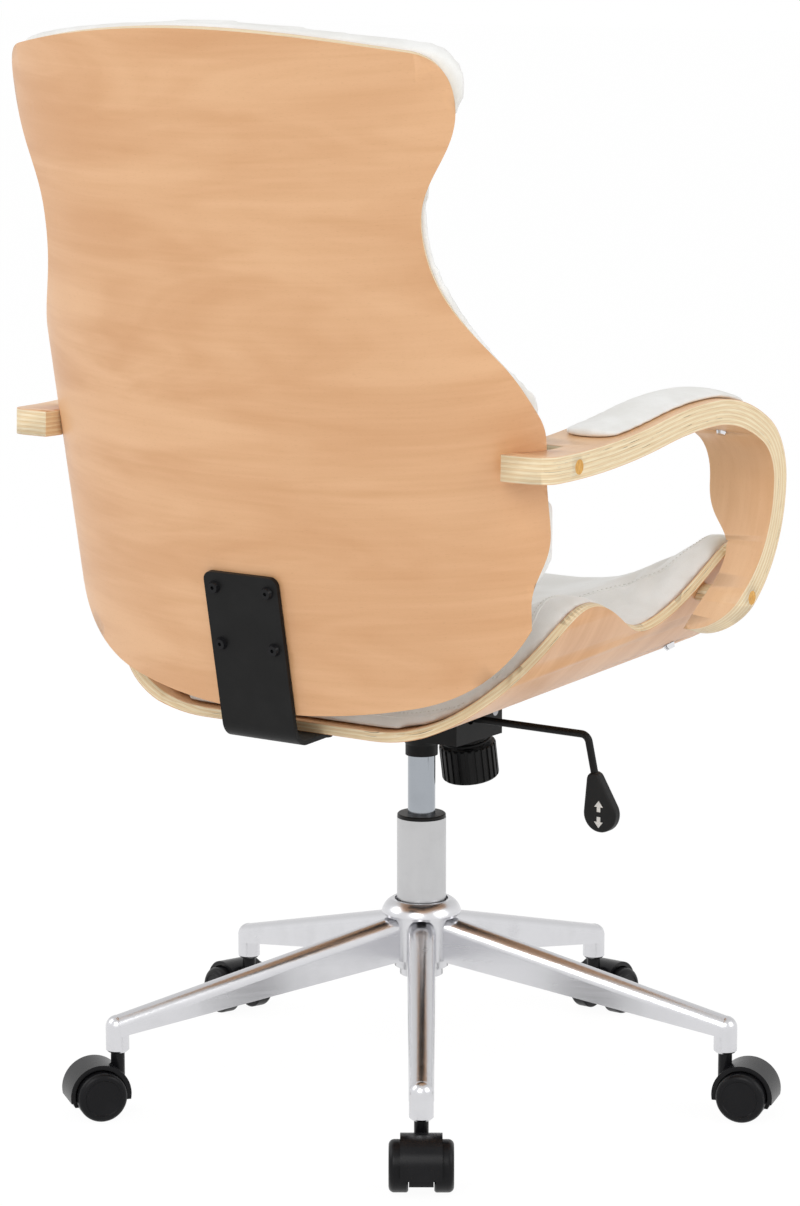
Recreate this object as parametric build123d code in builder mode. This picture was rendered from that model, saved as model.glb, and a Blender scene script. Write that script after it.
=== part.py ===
import math
import os

from build123d import *

# Every length is in millimetres and every angle in degrees.
# The origin is on the floor, on the column's axis. The sitter faces -Y, and +X is the sitter's left.

# Clearances
running = 0.05
seated = 0.02
apart = 0.4

# Five-star base
leg_count = 5
leg_heading = 124.4
leg_root_radius = 28.0
leg_root_top = 181.0
leg_root_bottom = 135.0
leg_root_width = 29.0
leg_tip_top = 101.0
leg_tip_bottom = 81.0
leg_tip_width = 24.0
leg_wall = 3.0
leg_end_wall = 5.0
socket_radius = 320.0
socket_diameter = 23.5
socket_bottom = 64.0
socket_chamfer = 2.0
leg_screw_diameter = 6.0
leg_screw_head = 10.0
leg_screw_head_height = 5.0

# Hub
hub_bottom = 118.0
hub_step_diameter = 44.0
hub_step_top = 127.0
hub_boss_diameter = 55.0
hub_body_bottom = 136.0
hub_body_diameter = 64.0
collar_bottom = 181.0
collar_diameter = 81.0
collar_top = 197.0
collar_lip = 3.0
collar_band = 3.0
collar_edge = 1.5
collar_shoulder = 3.0
collar_shoulder_drop = 6.0
collar_opening = 54.6
collar_opening_depth = 8.0
hub_floor = 12.0
hub_floor_opening = 30.0
arch_width = 32.0
arch_rise = 1.0

# Casters
stem_diameter = 10.0
stem_top = 88.0
stem_bottom = 46.0
neck_diameter = 14.0
neck_gap = 0.6
caster_trail = 22.0
wheel_diameter = 50.0
wheel_width = 18.6
wheel_gap = 24.6
wheel_outer_round = 5.5
wheel_inner_round = 1.5
wheel_dish_diameter = 37.0
wheel_dish_depth = 0.9
wheel_bore_depth = 12.0
axle_diameter = 8.0
hood_width = 40.0
hood_gap = 1.4
hood_wall = 4.6
hood_lip_height = 19.0
web_diameter = 56.0
web_clearance = 0.7
web_bottom = 12.0

# Gas lift
tube_diameter = 50.0
tube_wall = 2.0
tube_floor = 3.0
tube_top = 282.0
ring_diameter = 49.4
ring_height = 4.0
ring_sleeve_length = 55.0
ring_chamfer = 1.0
cylinder_diameter = 28.0
cylinder_bottom = 182.0
cylinder_top = 379.0
cylinder_bore_top = 328.0
rod_diameter = 10.0
rod_top = 276.0
rod_tail = 6.0
bearing_diameter = 26.0
bearing_height = 6.0
clip_diameter = 20.0
clip_height = 1.6
pin_diameter = 6.0
pin_length = 30.0
pin_proud = 7.4

# Tilt mechanism
cup_bottom = 347.0
cup_neck_top = 358.0
cup_diameter = 33.0
cup_flare_diameter = 41.0
cup_top = 381.0
pan_bottom = 366.0
pan_wall = 3.0
pan_half_width = 60.0
pan_front = -106.0
pan_nose_start = -57.0
pan_nose_half_width = 23.0
pan_rear = 26.0
pan_front_top = 400.0
pan_crest = -28.0
pan_crest_top = 402.0
pan_rear_top = 390.0
tilt_axis_y = -45.0
tilt_axis_z = 391.0
tilt_axle_diameter = 10.0
plate_half_width = 88.0
plate_front = -108.0
plate_rear = 96.0
plate_thickness = 4.0
plate_corner = 10.0
ear_thickness = 4.0
ear_gap = 1.0
ear_radius = 9.5

# Tension knob, bolt and spring on a leaning axis
tension_top_y = -79.0
tension_lean = 11.0
bolt_diameter = 10.0
bolt_head_diameter = 18.0
bolt_head_height = 6.0
spring_turns = 3
spring_wire = 3.4
spring_pitch = 4.2
spring_diameter = 52.0
spring_sample_count = 400
knob_diameter = 59.0
knob_height = 37.0
knob_gap = 0.5
knob_rib_count = 24
knob_rib_depth = 1.6
knob_rib_width = 3.6
knob_round = 2.5
knob_bore_depth = 30.0

# Lever with lock slider
lever_z = 391.0
lever_rod_diameter = 7.5
lever_pivot_x = -38.0
lever_pivot_diameter = 4.0
lever_tip_x = 8.0
lever_bend_x = -198.0
lever_bend_radius = 9.0
lever_drop_lean = 12.5
lever_drop = 56.0
lever_eye_diameter = 11.0
lever_eye_width = 8.0
slider_length = 16.0
slider_half_width = 13.0
slider_slot = 9.4
slider_height = 27.0
lever_hole_diameter = 13.0
guide_rib_height = 12.0
paddle_top_radius = 8.0
paddle_bottom_radius = 18.5
paddle_length = 34.0
paddle_lean = 12.5
paddle_thickness = 12.0
paddle_round = 3.0
paddle_bore_depth = 22.0

# Bent ply seat shell, cushion and edge line
ply_bottom = 424.5
ply_thickness = 10.0
seat_pitch = 2.4
seat_flat_half = 100.0
seat_bend_radius = 167.5
seat_side_angle = 80.0
seat_rear = 228.0
seat_front = -238.0
hump_y = 115.0
hump_z = 546.0
hump_lead = 10.0
dip_y = -62.0
dip_z = 496.0
wing_y = -178.0
wing_drop = 130.5
cushion_gap = 0.3
cushion_depth = 62.0
cushion_flat_half = 95.0
cushion_flank_half = 200.0
cushion_flank_rise = 41.0
cushion_flat_rise = 2.05
cushion_edge = 13.0
cushion_rise = 7.0
cushion_inset = 6.0

# Bent ply back shell and cushion
recline = 11.0
back_y = 285.6
back_z = 498.5
back_half_width = 285.0
back_depth = 125.0
back_ply = 11.0
top_length = 598.0
top_corner_half = 222.0
top_corner_drop = 28.0
head_half = 253.0
head_drop = 78.0
neck_half = 218.0
neck_drop = 190.0
rim_margin = 0.5
bulge_top_drop = 492.5
bulge_bottom_drop = 584.5
lower_half = 165.0
lower_rise = 14.0
bottom_length = -62.0
back_cushion_depth = 48.0
back_cushion_edge = 5.0
back_cushion_proud = 2.0
cushion_slope = 1.07

# Back bracket
bracket_width = 86.0
bracket_thickness = 4.5
bracket_top = 575.0
bracket_bend = 14.0
flange_front = 140.0
bracket_corner = 9.0
bracket_screw_x = 62.0
bracket_screw_z = 57.0
bracket_screw_drop = 15.0
bracket_head_diameter = 13.0
bracket_head_height = 4.0
bracket_socket = 4.0
bracket_head_taper = 20.0

# Screws under the seat
seat_screw_diameter = 6.0
seat_screw_head = 12.0
seat_screw_head_height = 4.0
seat_screw_depth = 8.0
plate_screw_x = 74.0
plate_screw_front = -94.0
plate_screw_rear = 82.0
flange_screw_x = 30.0
flange_screw_front = 156.0
flange_screw_rear = 206.0

# Bentwood arms
arm_inner = 243.0
arm_overhang = 31.0
arm_thickness = 25.0
arm_rear = 264.0
arm_rear_height = 692.5
arm_rear_slope = -2.0
arm_rear_radius = 1060.0
arm_rear_turn = 11.5
arm_top_radius = 562.0
arm_top_turn = -9.3
arm_brow_radius = 189.0
arm_brow_turn = -31.4
arm_nose_radius = 61.0
arm_nose_turn = -59.8
arm_return_radius = 136.0
arm_return_turn = -54.0
arm_foot = 44.0
arm_foot_slant = 20.0
arm_foot_round = 36.0
scribe_top = 628.0
scribe_wing_x = 274.0
scribe_wing_z = 570.0
scribe_foot_x = 277.0
scribe_foot_z = 528.0
arm_boss_diameter = 18.0
arm_boss_reach = 22.0
arm_rear_round = 22.0
tongue_reach = 18.0
tongue_front = 226.0
notch_front = 12.0
plug_diameter = 14.0
plug_depth = 6.0
arm_bolt_diameter = 6.0
arm_bolt_head = 12.0
arm_bolt_head_height = 6.0
rear_plug_y = 208.0
rear_plug_drop = 1.5
front_plug_y = -114.0
front_plug_drop = 169.5
rear_bolt_reach = 9.0
front_bolt_end = 254.0
pad_width = 60.0
pad_inset = 6.0
pad_thickness = 9.0
pad_side = 4.0
pad_round = 24.0
pad_start_turn = 6.6
pad_end_turn = 24.0
pad_screw_diameter = 5.0
pad_screw_head = 11.0
pad_screw_head_height = 3.0
pad_screw_depth = 14.0
pad_screw_rear_turn = 8.8
pad_screw_front_turn = 25.0
seat_bolt_diameter = 6.0
seat_bolt_head = 13.0
seat_bolt_head_height = 5.0
seat_bolt_turn = 32.0
seat_bolt_length = 8.0
seat_bolt_y = -162.0

os.makedirs("parts", exist_ok=True)


def save(piece, node):
    """Label one finished piece and write it as its own STEP file."""
    piece.label = node
    export_step(piece, f"parts/{node}.step")


def polar(radius, angle):
    """Point on the floor plane at a radius and a heading."""
    return radius * math.cos(math.radians(angle)), radius * math.sin(math.radians(angle))


# Values worked out from the driving dimensions
ply_top = ply_bottom + ply_thickness
plate_bottom = ply_bottom - plate_thickness
tube_bottom = hub_bottom + hub_floor
tube_inside = tube_bottom + tube_floor
axle_height = wheel_diameter / 2
pan_floor = pan_bottom + pan_wall
arm_outer = back_half_width + arm_overhang
arm_width = arm_outer - arm_inner
arm_bends = (
    (arm_rear_radius, arm_rear_turn),
    (arm_top_radius, arm_top_turn),
    (arm_brow_radius, arm_brow_turn),
    (arm_nose_radius, arm_nose_turn),
    (arm_return_radius, arm_return_turn),
)
tongue_inner = back_half_width - tongue_reach
rear_plug_z = arm_rear_height - rear_plug_drop
front_plug_z = arm_rear_height - front_plug_drop
rear_bolt_end = back_half_width - rear_bolt_reach
wing_z = arm_rear_height - wing_drop
bulge_half = back_half_width - rim_margin
bulge_top_length = arm_rear_height - bulge_top_drop
bulge_bottom_length = arm_rear_height - bulge_bottom_drop
head_length = top_length - head_drop
neck_length = top_length - neck_drop
leg_angles = [leg_heading + index * 360 / leg_count for index in range(leg_count)]
lean_sin = math.sin(math.radians(recline))
lean_cos = math.cos(math.radians(recline))
back_section = Plane(origin=(0, back_y, back_z), x_dir=(1, 0, 0), z_dir=(0, lean_sin, lean_cos))
back_front = Plane(origin=(0, back_y, back_z), x_dir=(1, 0, 0), z_dir=(0, -lean_cos, lean_sin))
side_view = Plane(origin=(0, 0, 0), x_dir=(0, 1, 0), z_dir=(1, 0, 0))
arm_view = Plane(origin=(-arm_inner, 0, 0), x_dir=(0, -1, 0), z_dir=(-1, 0, 0))

pitch_sin = math.sin(math.radians(seat_pitch))
pitch_cos = math.cos(math.radians(seat_pitch))


def pitched(piece):
    """A seat piece drawn level, turned about the tilt axle so that the seat's front is higher."""
    return piece.rotate(Axis((0, tilt_axis_y, tilt_axis_z), (1, 0, 0)), -seat_pitch)


def pitched_point(y, z):
    """Where a point of the level seat lies once the seat is pitched."""
    along = y - tilt_axis_y
    up = z - tilt_axis_z
    return (
        tilt_axis_y + along * pitch_cos + up * pitch_sin,
        tilt_axis_z - along * pitch_sin + up * pitch_cos,
    )


def level_point(y, z):
    """Where a point of the pitched seat lies in the level drawing."""
    along = y - tilt_axis_y
    up = z - tilt_axis_z
    return (
        tilt_axis_y + along * pitch_cos - up * pitch_sin,
        tilt_axis_z + along * pitch_sin + up * pitch_cos,
    )


plate_screw_spots = [
    (side * plate_screw_x, y) for side in (-1, 1) for y in (plate_screw_front, plate_screw_rear)
]
flange_screw_spots = [
    (side * flange_screw_x, y) for side in (-1, 1) for y in (flange_screw_front, flange_screw_rear)
]
seat_screw_spots = plate_screw_spots + flange_screw_spots
flange_bottom = ply_bottom - bracket_thickness
bracket_top_length = (bracket_top - back_z) / lean_cos
bracket_screw_spots = [
    (side * bracket_screw_x / 2, bracket_top_length - bracket_screw_drop - drop)
    for side in (-1, 1)
    for drop in (0, bracket_screw_z)
]


# Hub of the base, with an arched recess for each leg
with BuildPart() as hub:
    with BuildSketch(Plane.XZ):
        with BuildLine():
            Polyline(
                (collar_diameter / 2 - collar_edge, collar_bottom),
                (hub_body_diameter / 2, collar_bottom),
                (hub_body_diameter / 2, hub_body_bottom),
                (hub_boss_diameter / 2, hub_body_bottom),
                (hub_boss_diameter / 2, hub_step_top),
                (hub_step_diameter / 2, hub_step_top),
                (hub_step_diameter / 2, hub_bottom),
                (hub_floor_opening / 2, hub_bottom),
                (hub_floor_opening / 2, tube_bottom),
                (tube_diameter / 2 + seated, tube_bottom),
                (tube_diameter / 2 + seated, collar_top - collar_opening_depth),
                (collar_opening / 2, collar_top - collar_opening_depth),
                (collar_opening / 2, collar_top),
                (collar_opening / 2 + collar_lip, collar_top),
            )
            ThreePointArc(
                (collar_opening / 2 + collar_lip, collar_top),
                (collar_diameter / 2 - collar_shoulder, collar_top - collar_shoulder_drop),
                (collar_diameter / 2, collar_bottom + collar_band),
            )
            Line(
                (collar_diameter / 2, collar_bottom + collar_band),
                (collar_diameter / 2 - collar_edge, collar_bottom),
            )
        make_face()
    revolve(axis=Axis.Z)
    for angle in leg_angles:
        recess = Plane(
            origin=(*polar(leg_root_radius, angle), 0),
            x_dir=(*polar(1, angle + 90), 0),
            z_dir=(*polar(1, angle), 0),
        )
        with BuildSketch(recess):
            with BuildLine():
                arch_top = leg_root_top + arch_rise
                Polyline(
                    (-arch_width / 2, arch_top - arch_width / 2),
                    (-arch_width / 2, hub_bottom),
                    (arch_width / 2, hub_bottom),
                    (arch_width / 2, arch_top - arch_width / 2),
                )
                ThreePointArc(
                    (arch_width / 2, arch_top - arch_width / 2),
                    (0, arch_top),
                    (-arch_width / 2, arch_top - arch_width / 2),
                )
            make_face()
        extrude(amount=collar_diameter, mode=Mode.SUBTRACT)
        screw_height = (leg_root_top + leg_root_bottom) / 2
        with BuildSketch(recess):
            with Locations((0, screw_height)):
                Circle(leg_screw_diameter / 2 + seated)
        extrude(amount=-(leg_root_radius - tube_diameter / 2) / 2, mode=Mode.SUBTRACT)
save(hub.part, "hub")


def arch_face(radius, width, bottom, top):
    """Arched cross-section of a leg that points along +X."""
    with BuildSketch(Plane.YZ.offset(radius)) as arch:
        with BuildLine():
            Polyline(
                (-width / 2, top - width / 2),
                (-width / 2, bottom),
                (width / 2, bottom),
                (width / 2, top - width / 2),
            )
            ThreePointArc((width / 2, top - width / 2), (0, top), (-width / 2, top - width / 2))
        make_face()
    return arch.sketch


# One hollow tapered leg along +X, open underneath, with the caster socket at its tip
leg_length = socket_radius - leg_root_radius
hollow_start = leg_root_radius + leg_end_wall
hollow_share = leg_end_wall / leg_length


def along_leg(root_value, tip_value):
    """Value of a tapering leg size where the hollow begins."""
    return root_value + (tip_value - root_value) * hollow_share


outer_root = arch_face(leg_root_radius, leg_root_width, leg_root_bottom, leg_root_top)
outer_tip = arch_face(socket_radius, leg_tip_width, leg_tip_bottom, leg_tip_top)
inner_root = arch_face(
    hollow_start,
    along_leg(leg_root_width, leg_tip_width) - 2 * leg_wall,
    along_leg(leg_root_bottom, leg_tip_bottom) - leg_wall,
    along_leg(leg_root_top, leg_tip_top) - leg_wall,
)
inner_tip = arch_face(
    socket_radius,
    leg_tip_width - 2 * leg_wall,
    leg_tip_bottom - leg_wall,
    leg_tip_top - leg_wall,
)
with BuildPart() as leg:
    loft([outer_root, outer_tip])
    loft([inner_root, inner_tip], mode=Mode.SUBTRACT)
    with BuildSketch(Plane.XZ):
        dome_start = leg_tip_top - socket_diameter / 2
        with BuildLine():
            Polyline(
                (socket_radius, leg_tip_top),
                (socket_radius, socket_bottom),
                (socket_radius + socket_diameter / 2 - socket_chamfer, socket_bottom),
                (socket_radius + socket_diameter / 2, socket_bottom + socket_chamfer),
                (socket_radius + socket_diameter / 2, dome_start),
            )
            RadiusArc(
                (socket_radius + socket_diameter / 2, dome_start),
                (socket_radius, leg_tip_top),
                -socket_diameter / 2,
            )
        make_face()
    revolve(axis=Axis((socket_radius, 0, 0), (0, 0, 1)))
    with Locations((socket_radius, 0, socket_bottom)):
        stem_hole = stem_top - socket_bottom + seated
        Cylinder(
            stem_diameter / 2 + seated,
            stem_hole,
            align=(Align.CENTER, Align.CENTER, Align.MIN),
            mode=Mode.SUBTRACT,
        )
    with BuildSketch(Plane.YZ.offset(leg_root_radius)):
        with Locations((0, screw_height)):
            Circle(leg_screw_diameter / 2 + seated)
    extrude(amount=leg_end_wall, mode=Mode.SUBTRACT)
for number, angle in enumerate(leg_angles, 1):
    save(leg.part.rotate(Axis.Z, angle), f"leg_{number}")

# Screws that hold the legs to the hub, from inside each hollow leg
with BuildPart() as leg_screws:
    for angle in leg_angles:
        seat_plane = Plane(
            origin=(*polar(hollow_start, angle), screw_height),
            x_dir=(*polar(1, angle + 90), 0),
            z_dir=(*polar(1, angle), 0),
        )
        with BuildSketch(seat_plane):
            Circle(leg_screw_head / 2)
        extrude(amount=leg_screw_head_height)
        with BuildSketch(seat_plane):
            Circle(leg_screw_diameter / 2)
        extrude(amount=-leg_end_wall - (leg_root_radius - tube_diameter / 2) / 3)
save(leg_screws.part, "leg_screws")

# Caster stems, fixed in the sockets
with BuildPart() as caster_stems:
    for angle in leg_angles:
        with BuildSketch(Plane.XY.offset(stem_bottom)):
            with Locations(polar(socket_radius, angle)):
                Circle(stem_diameter / 2)
        extrude(amount=stem_top - stem_bottom)
save(caster_stems.part, "caster_stems")

# One caster behind the leg that points along +X: hood, axle and two wheels
axle_x = socket_radius + caster_trail
axle_plane = Plane(origin=(axle_x, 0, axle_height), x_dir=(1, 0, 0), z_dir=(0, -1, 0))
hood_inner = wheel_diameter / 2 + hood_gap
hood_outer = hood_inner + hood_wall
web_half = wheel_gap / 2 - web_clearance
with BuildPart() as hood:
    with BuildSketch(axle_plane):
        Circle(hood_outer)
        Circle(hood_inner, mode=Mode.SUBTRACT)
        with Locations((0, hood_lip_height - axle_height)):
            Rectangle(
                4 * hood_outer,
                4 * hood_outer,
                align=(Align.CENTER, Align.MAX),
                mode=Mode.SUBTRACT,
            )
    extrude(amount=hood_width / 2, both=True)
    with BuildSketch(axle_plane):
        Circle(web_diameter / 2)
        with Locations((0, web_bottom - axle_height)):
            Rectangle(
                2 * web_diameter,
                2 * web_diameter,
                align=(Align.CENTER, Align.MAX),
                mode=Mode.SUBTRACT,
            )
    extrude(amount=web_half, both=True)
    with Locations((socket_radius, 0, socket_bottom - neck_gap)):
        Cylinder(
            neck_diameter / 2,
            socket_bottom - neck_gap - axle_height,
            align=(Align.CENTER, Align.CENTER, Align.MAX),
        )
        Cylinder(
            stem_diameter / 2 + running,
            socket_bottom - stem_bottom,
            align=(Align.CENTER, Align.CENTER, Align.MAX),
            mode=Mode.SUBTRACT,
        )
    with BuildSketch(axle_plane):
        Circle(axle_diameter / 2 + seated)
    extrude(amount=hood_width, both=True, mode=Mode.SUBTRACT)

axle_half = wheel_gap / 2 + wheel_bore_depth - apart
with BuildPart() as axle:
    with BuildSketch(axle_plane):
        Circle(axle_diameter / 2)
    extrude(amount=axle_half, both=True)

wheel_inner = wheel_gap / 2
wheel_outer = wheel_inner + wheel_width
with BuildPart() as wheel:
    with BuildSketch(Plane(origin=(axle_x, 0, axle_height), x_dir=(0, 0, 1), z_dir=(1, 0, 0))):
        with BuildLine():
            bore = axle_diameter / 2 + running
            tread = wheel_diameter / 2
            dish = wheel_dish_diameter / 2
            Polyline(
                (0, -wheel_inner - wheel_bore_depth),
                (bore, -wheel_inner - wheel_bore_depth),
                (bore, -wheel_inner),
                (tread - wheel_inner_round, -wheel_inner),
                (tread, -wheel_inner - wheel_inner_round),
                (tread, -wheel_outer + wheel_outer_round),
            )
            RadiusArc(
                (tread, -wheel_outer + wheel_outer_round),
                (tread - wheel_outer_round, -wheel_outer),
                wheel_outer_round,
            )
            Polyline(
                (tread - wheel_outer_round, -wheel_outer),
                (dish, -wheel_outer),
                (dish - wheel_dish_depth, -wheel_outer + wheel_dish_depth),
                (0, -wheel_outer + wheel_dish_depth),
                (0, -wheel_inner - wheel_bore_depth),
            )
        make_face()
    revolve(axis=Axis((axle_x, 0, axle_height), (0, 1, 0)))
other_wheel = wheel.part.mirror(Plane.XZ)
for number, angle in enumerate(leg_angles, 1):
    save(hood.part.rotate(Axis.Z, angle), f"caster_hood_{number}")
    save(axle.part.rotate(Axis.Z, angle), f"caster_axle_{number}")
    save(wheel.part.rotate(Axis.Z, angle), f"caster_wheel_{number}a")
    save(other_wheel.rotate(Axis.Z, angle), f"caster_wheel_{number}b")

# Outer tube of the gas lift, standing in the hub
with BuildPart() as lift_tube:
    with BuildSketch(Plane.XY.offset(tube_bottom)):
        Circle(tube_diameter / 2)
    extrude(amount=tube_top - tube_bottom)
    with BuildSketch(Plane.XY.offset(tube_inside)):
        Circle(tube_diameter / 2 - tube_wall)
    extrude(amount=tube_top - tube_inside, mode=Mode.SUBTRACT)
    with BuildSketch(Plane.XY.offset(tube_bottom)):
        Circle(rod_diameter / 2 + seated)
    extrude(amount=tube_floor, mode=Mode.SUBTRACT)
save(lift_tube.part, "lift_tube")

# Guide ring that the cylinder slides and turns in
with BuildPart() as guide_ring:
    with BuildSketch(Plane.XY.offset(tube_top)):
        Circle(ring_diameter / 2)
    extrude(amount=ring_height)
    with BuildSketch(Plane.XY.offset(tube_top - ring_sleeve_length)):
        Circle(tube_diameter / 2 - tube_wall - seated)
    extrude(amount=ring_sleeve_length)
    with BuildSketch(Plane.XY.offset(tube_top - ring_sleeve_length)):
        Circle(cylinder_diameter / 2 + running)
    extrude(amount=ring_sleeve_length + ring_height, mode=Mode.SUBTRACT)
    top_circles = guide_ring.edges().filter_by(GeomType.CIRCLE).group_by(Axis.Z)[-1]
    chamfer(top_circles.sort_by(SortBy.RADIUS)[-1], ring_chamfer)
save(guide_ring.part, "guide_ring")

# Gas cylinder that rises and falls, with the rod's bore and the release pin's bore
with BuildPart() as gas_cylinder:
    with BuildSketch(Plane.XY.offset(cylinder_bottom)):
        Circle(cylinder_diameter / 2)
    extrude(amount=cylinder_top - cylinder_bottom)
    with BuildSketch(Plane.XY.offset(cylinder_bottom)):
        Circle(rod_diameter / 2 + running)
    extrude(amount=cylinder_bore_top - cylinder_bottom, mode=Mode.SUBTRACT)
    with BuildSketch(Plane.XY.offset(cylinder_top)):
        Circle(pin_diameter / 2 + running)
    extrude(amount=-pin_length, mode=Mode.SUBTRACT)
save(gas_cylinder.part, "gas_cylinder")

with BuildPart() as release_pin:
    with BuildSketch(Plane.XY.offset(cylinder_top + pin_proud)):
        Circle(pin_diameter / 2)
    extrude(amount=pin_proud - pin_length)
save(release_pin.part, "release_pin")

# Piston rod, its bearing on the tube's floor and the clip below
with BuildPart() as lift_rod:
    with BuildSketch(Plane.XY.offset(tube_bottom - rod_tail)):
        Circle(rod_diameter / 2)
    extrude(amount=rod_top - tube_bottom + rod_tail)
save(lift_rod.part, "lift_rod")

with BuildPart() as thrust_bearing:
    with BuildSketch(Plane.XY.offset(tube_inside)):
        Circle(bearing_diameter / 2)
        Circle(rod_diameter / 2 + seated, mode=Mode.SUBTRACT)
    extrude(amount=bearing_height)
save(thrust_bearing.part, "thrust_bearing")

with BuildPart() as rod_clip:
    with BuildSketch(Plane.XY.offset(tube_bottom)):
        Circle(clip_diameter / 2)
        Circle(rod_diameter / 2 + seated, mode=Mode.SUBTRACT)
        with Locations((clip_diameter / 2, 0)):
            Rectangle(clip_diameter, rod_diameter / 2, mode=Mode.SUBTRACT)
    extrude(amount=-clip_height)
save(rod_clip.part, "rod_clip")

# Tilt housing: an open pan with a narrow nose and the neck cup for the cylinder
tension_axis = Plane(
    origin=(0, tension_top_y, pan_bottom),
    x_dir=(1, 0, 0),
    z_dir=(0, math.sin(math.radians(tension_lean)), math.cos(math.radians(tension_lean))),
)
pan_corners = [
    (-pan_half_width, pan_rear),
    (-pan_half_width, pan_nose_start),
    (-pan_nose_half_width, pan_front),
    (pan_nose_half_width, pan_front),
    (pan_half_width, pan_nose_start),
    (pan_half_width, pan_rear),
]
with BuildPart() as tilt_housing:
    with BuildSketch(side_view):
        Polygon(
            (pan_front, pan_bottom),
            (pan_rear, pan_bottom),
            (pan_rear, pan_rear_top),
            (pan_crest, pan_crest_top),
            (pan_front, pan_front_top),
            align=None,
        )
    extrude(amount=pan_half_width, both=True)
    with BuildSketch(Plane.XY.offset(pan_bottom)):
        Polygon(*pan_corners, align=None)
    extrude(amount=pan_crest_top - pan_bottom, mode=Mode.INTERSECT)
    with BuildSketch(Plane.XY.offset(pan_floor)):
        Polygon(*pan_corners, align=None)
        offset(amount=-pan_wall, kind=Kind.INTERSECTION)
    extrude(amount=pan_crest_top - pan_floor, mode=Mode.SUBTRACT)
    with BuildSketch(Plane.XZ):
        with BuildLine():
            Polyline(
                (0, cup_bottom),
                (cup_diameter / 2, cup_bottom),
                (cup_diameter / 2, cup_neck_top),
                (cup_flare_diameter / 2, pan_bottom),
                (cup_flare_diameter / 2, cup_top),
                (0, cup_top),
                (0, cup_bottom),
            )
        make_face()
    revolve(axis=Axis.Z)
    for side in (-1, 1):
        with Locations((lever_pivot_x, side * (slider_half_width + apart + pan_wall / 2), pan_floor)):
            Box(
                slider_length,
                pan_wall,
                guide_rib_height,
                align=(Align.CENTER, Align.CENTER, Align.MIN),
            )
    with BuildSketch(Plane.XY.offset(cup_bottom)):
        Circle(cylinder_diameter / 2 + running)
    extrude(amount=cup_top - cup_bottom, mode=Mode.SUBTRACT)
    with BuildSketch(Plane.YZ.offset(-pan_half_width)):
        with Locations((0, lever_z)):
            Circle(lever_hole_diameter / 2)
    extrude(amount=pan_wall, mode=Mode.SUBTRACT)
    with BuildSketch(Plane.YZ.offset(-pan_half_width)):
        with Locations((tilt_axis_y, tilt_axis_z)):
            Circle(tilt_axle_diameter / 2 + seated)
    extrude(amount=2 * pan_half_width, mode=Mode.SUBTRACT)
    with BuildSketch(tension_axis):
        Circle(bolt_diameter / 2 + seated)
    extrude(amount=4 * pan_wall, both=True, mode=Mode.SUBTRACT)
save(tilt_housing.part, "tilt_housing")

with BuildPart() as tilt_axle:
    with BuildSketch(Plane.YZ.offset(-pan_half_width)):
        with Locations((tilt_axis_y, tilt_axis_z)):
            Circle(tilt_axle_diameter / 2)
    extrude(amount=2 * pan_half_width)
save(tilt_axle.part, "tilt_axle")

# Tension bolt through the pan's floor, its coil spring and the ribbed knob below
spring_height = spring_turns * spring_pitch + spring_wire
lean_rise = (spring_diameter / 2) * math.tan(math.radians(tension_lean))
spring_top = -lean_rise - apart
spring_bottom = spring_top - spring_height
knob_top = spring_bottom - knob_gap
bolt_end = knob_top - knob_bore_depth + knob_gap
head_seat = pan_wall + bolt_head_diameter / 2 * math.tan(math.radians(tension_lean)) + apart
with BuildPart() as tension_bolt:
    with BuildSketch(tension_axis.offset(bolt_end)):
        Circle(bolt_diameter / 2)
    extrude(amount=head_seat - bolt_end)
    with BuildSketch(tension_axis.offset(head_seat)):
        RegularPolygon(bolt_head_diameter / 2, 6)
    extrude(amount=bolt_head_height)
save(tension_bolt.part, "tension_bolt")


def coil_point(turn):
    """Point and heading on the spring's centre line after a number of turns."""
    radius = (spring_diameter - spring_wire) / 2
    angle = 2 * math.pi * turn
    climb = spring_bottom + spring_wire / 2 + spring_pitch * turn
    point = Vector(radius * math.cos(angle), radius * math.sin(angle), climb)
    heading = Vector(-radius * math.sin(angle), radius * math.cos(angle), spring_pitch / (2 * math.pi))
    return point, heading.normalized()


with BuildLine() as coil:
    for half in range(2 * spring_turns):
        start, start_heading = coil_point(half / 2)
        end, end_heading = coil_point(half / 2 + 0.5)
        chord = end - start
        spread = start_heading + end_heading
        bend = 2 * (1 - start_heading.dot(end_heading))
        along = chord.dot(spread)
        reach = (math.sqrt(along**2 + bend * chord.dot(chord)) - along) / bend
        joint = (start + start_heading * reach + end - end_heading * reach) / 2
        TangentArc(start, joint, tangent=start_heading)
        TangentArc(joint, end, tangent=joint - (start + start_heading * reach))
coil_line = tension_axis.from_local_coords(coil.line)
with BuildPart() as tension_spring:
    with BuildSketch(Plane(origin=coil_line @ 0, z_dir=coil_line % 0)):
        Circle(spring_wire / 2)
    sweep(path=coil_line)
save(tension_spring.part, "tension_spring")
spring_samples = [coil_line @ (index / spring_sample_count) for index in range(spring_sample_count + 1)]
half_turn_samples = spring_sample_count // (2 * spring_turns)
spring_gap = min(
    (first - second).length
    for index, first in enumerate(spring_samples)
    for second in spring_samples[index + half_turn_samples :]
)
print(f"tension spring: least gap between turns {spring_gap - spring_wire:.2f} mm")

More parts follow.
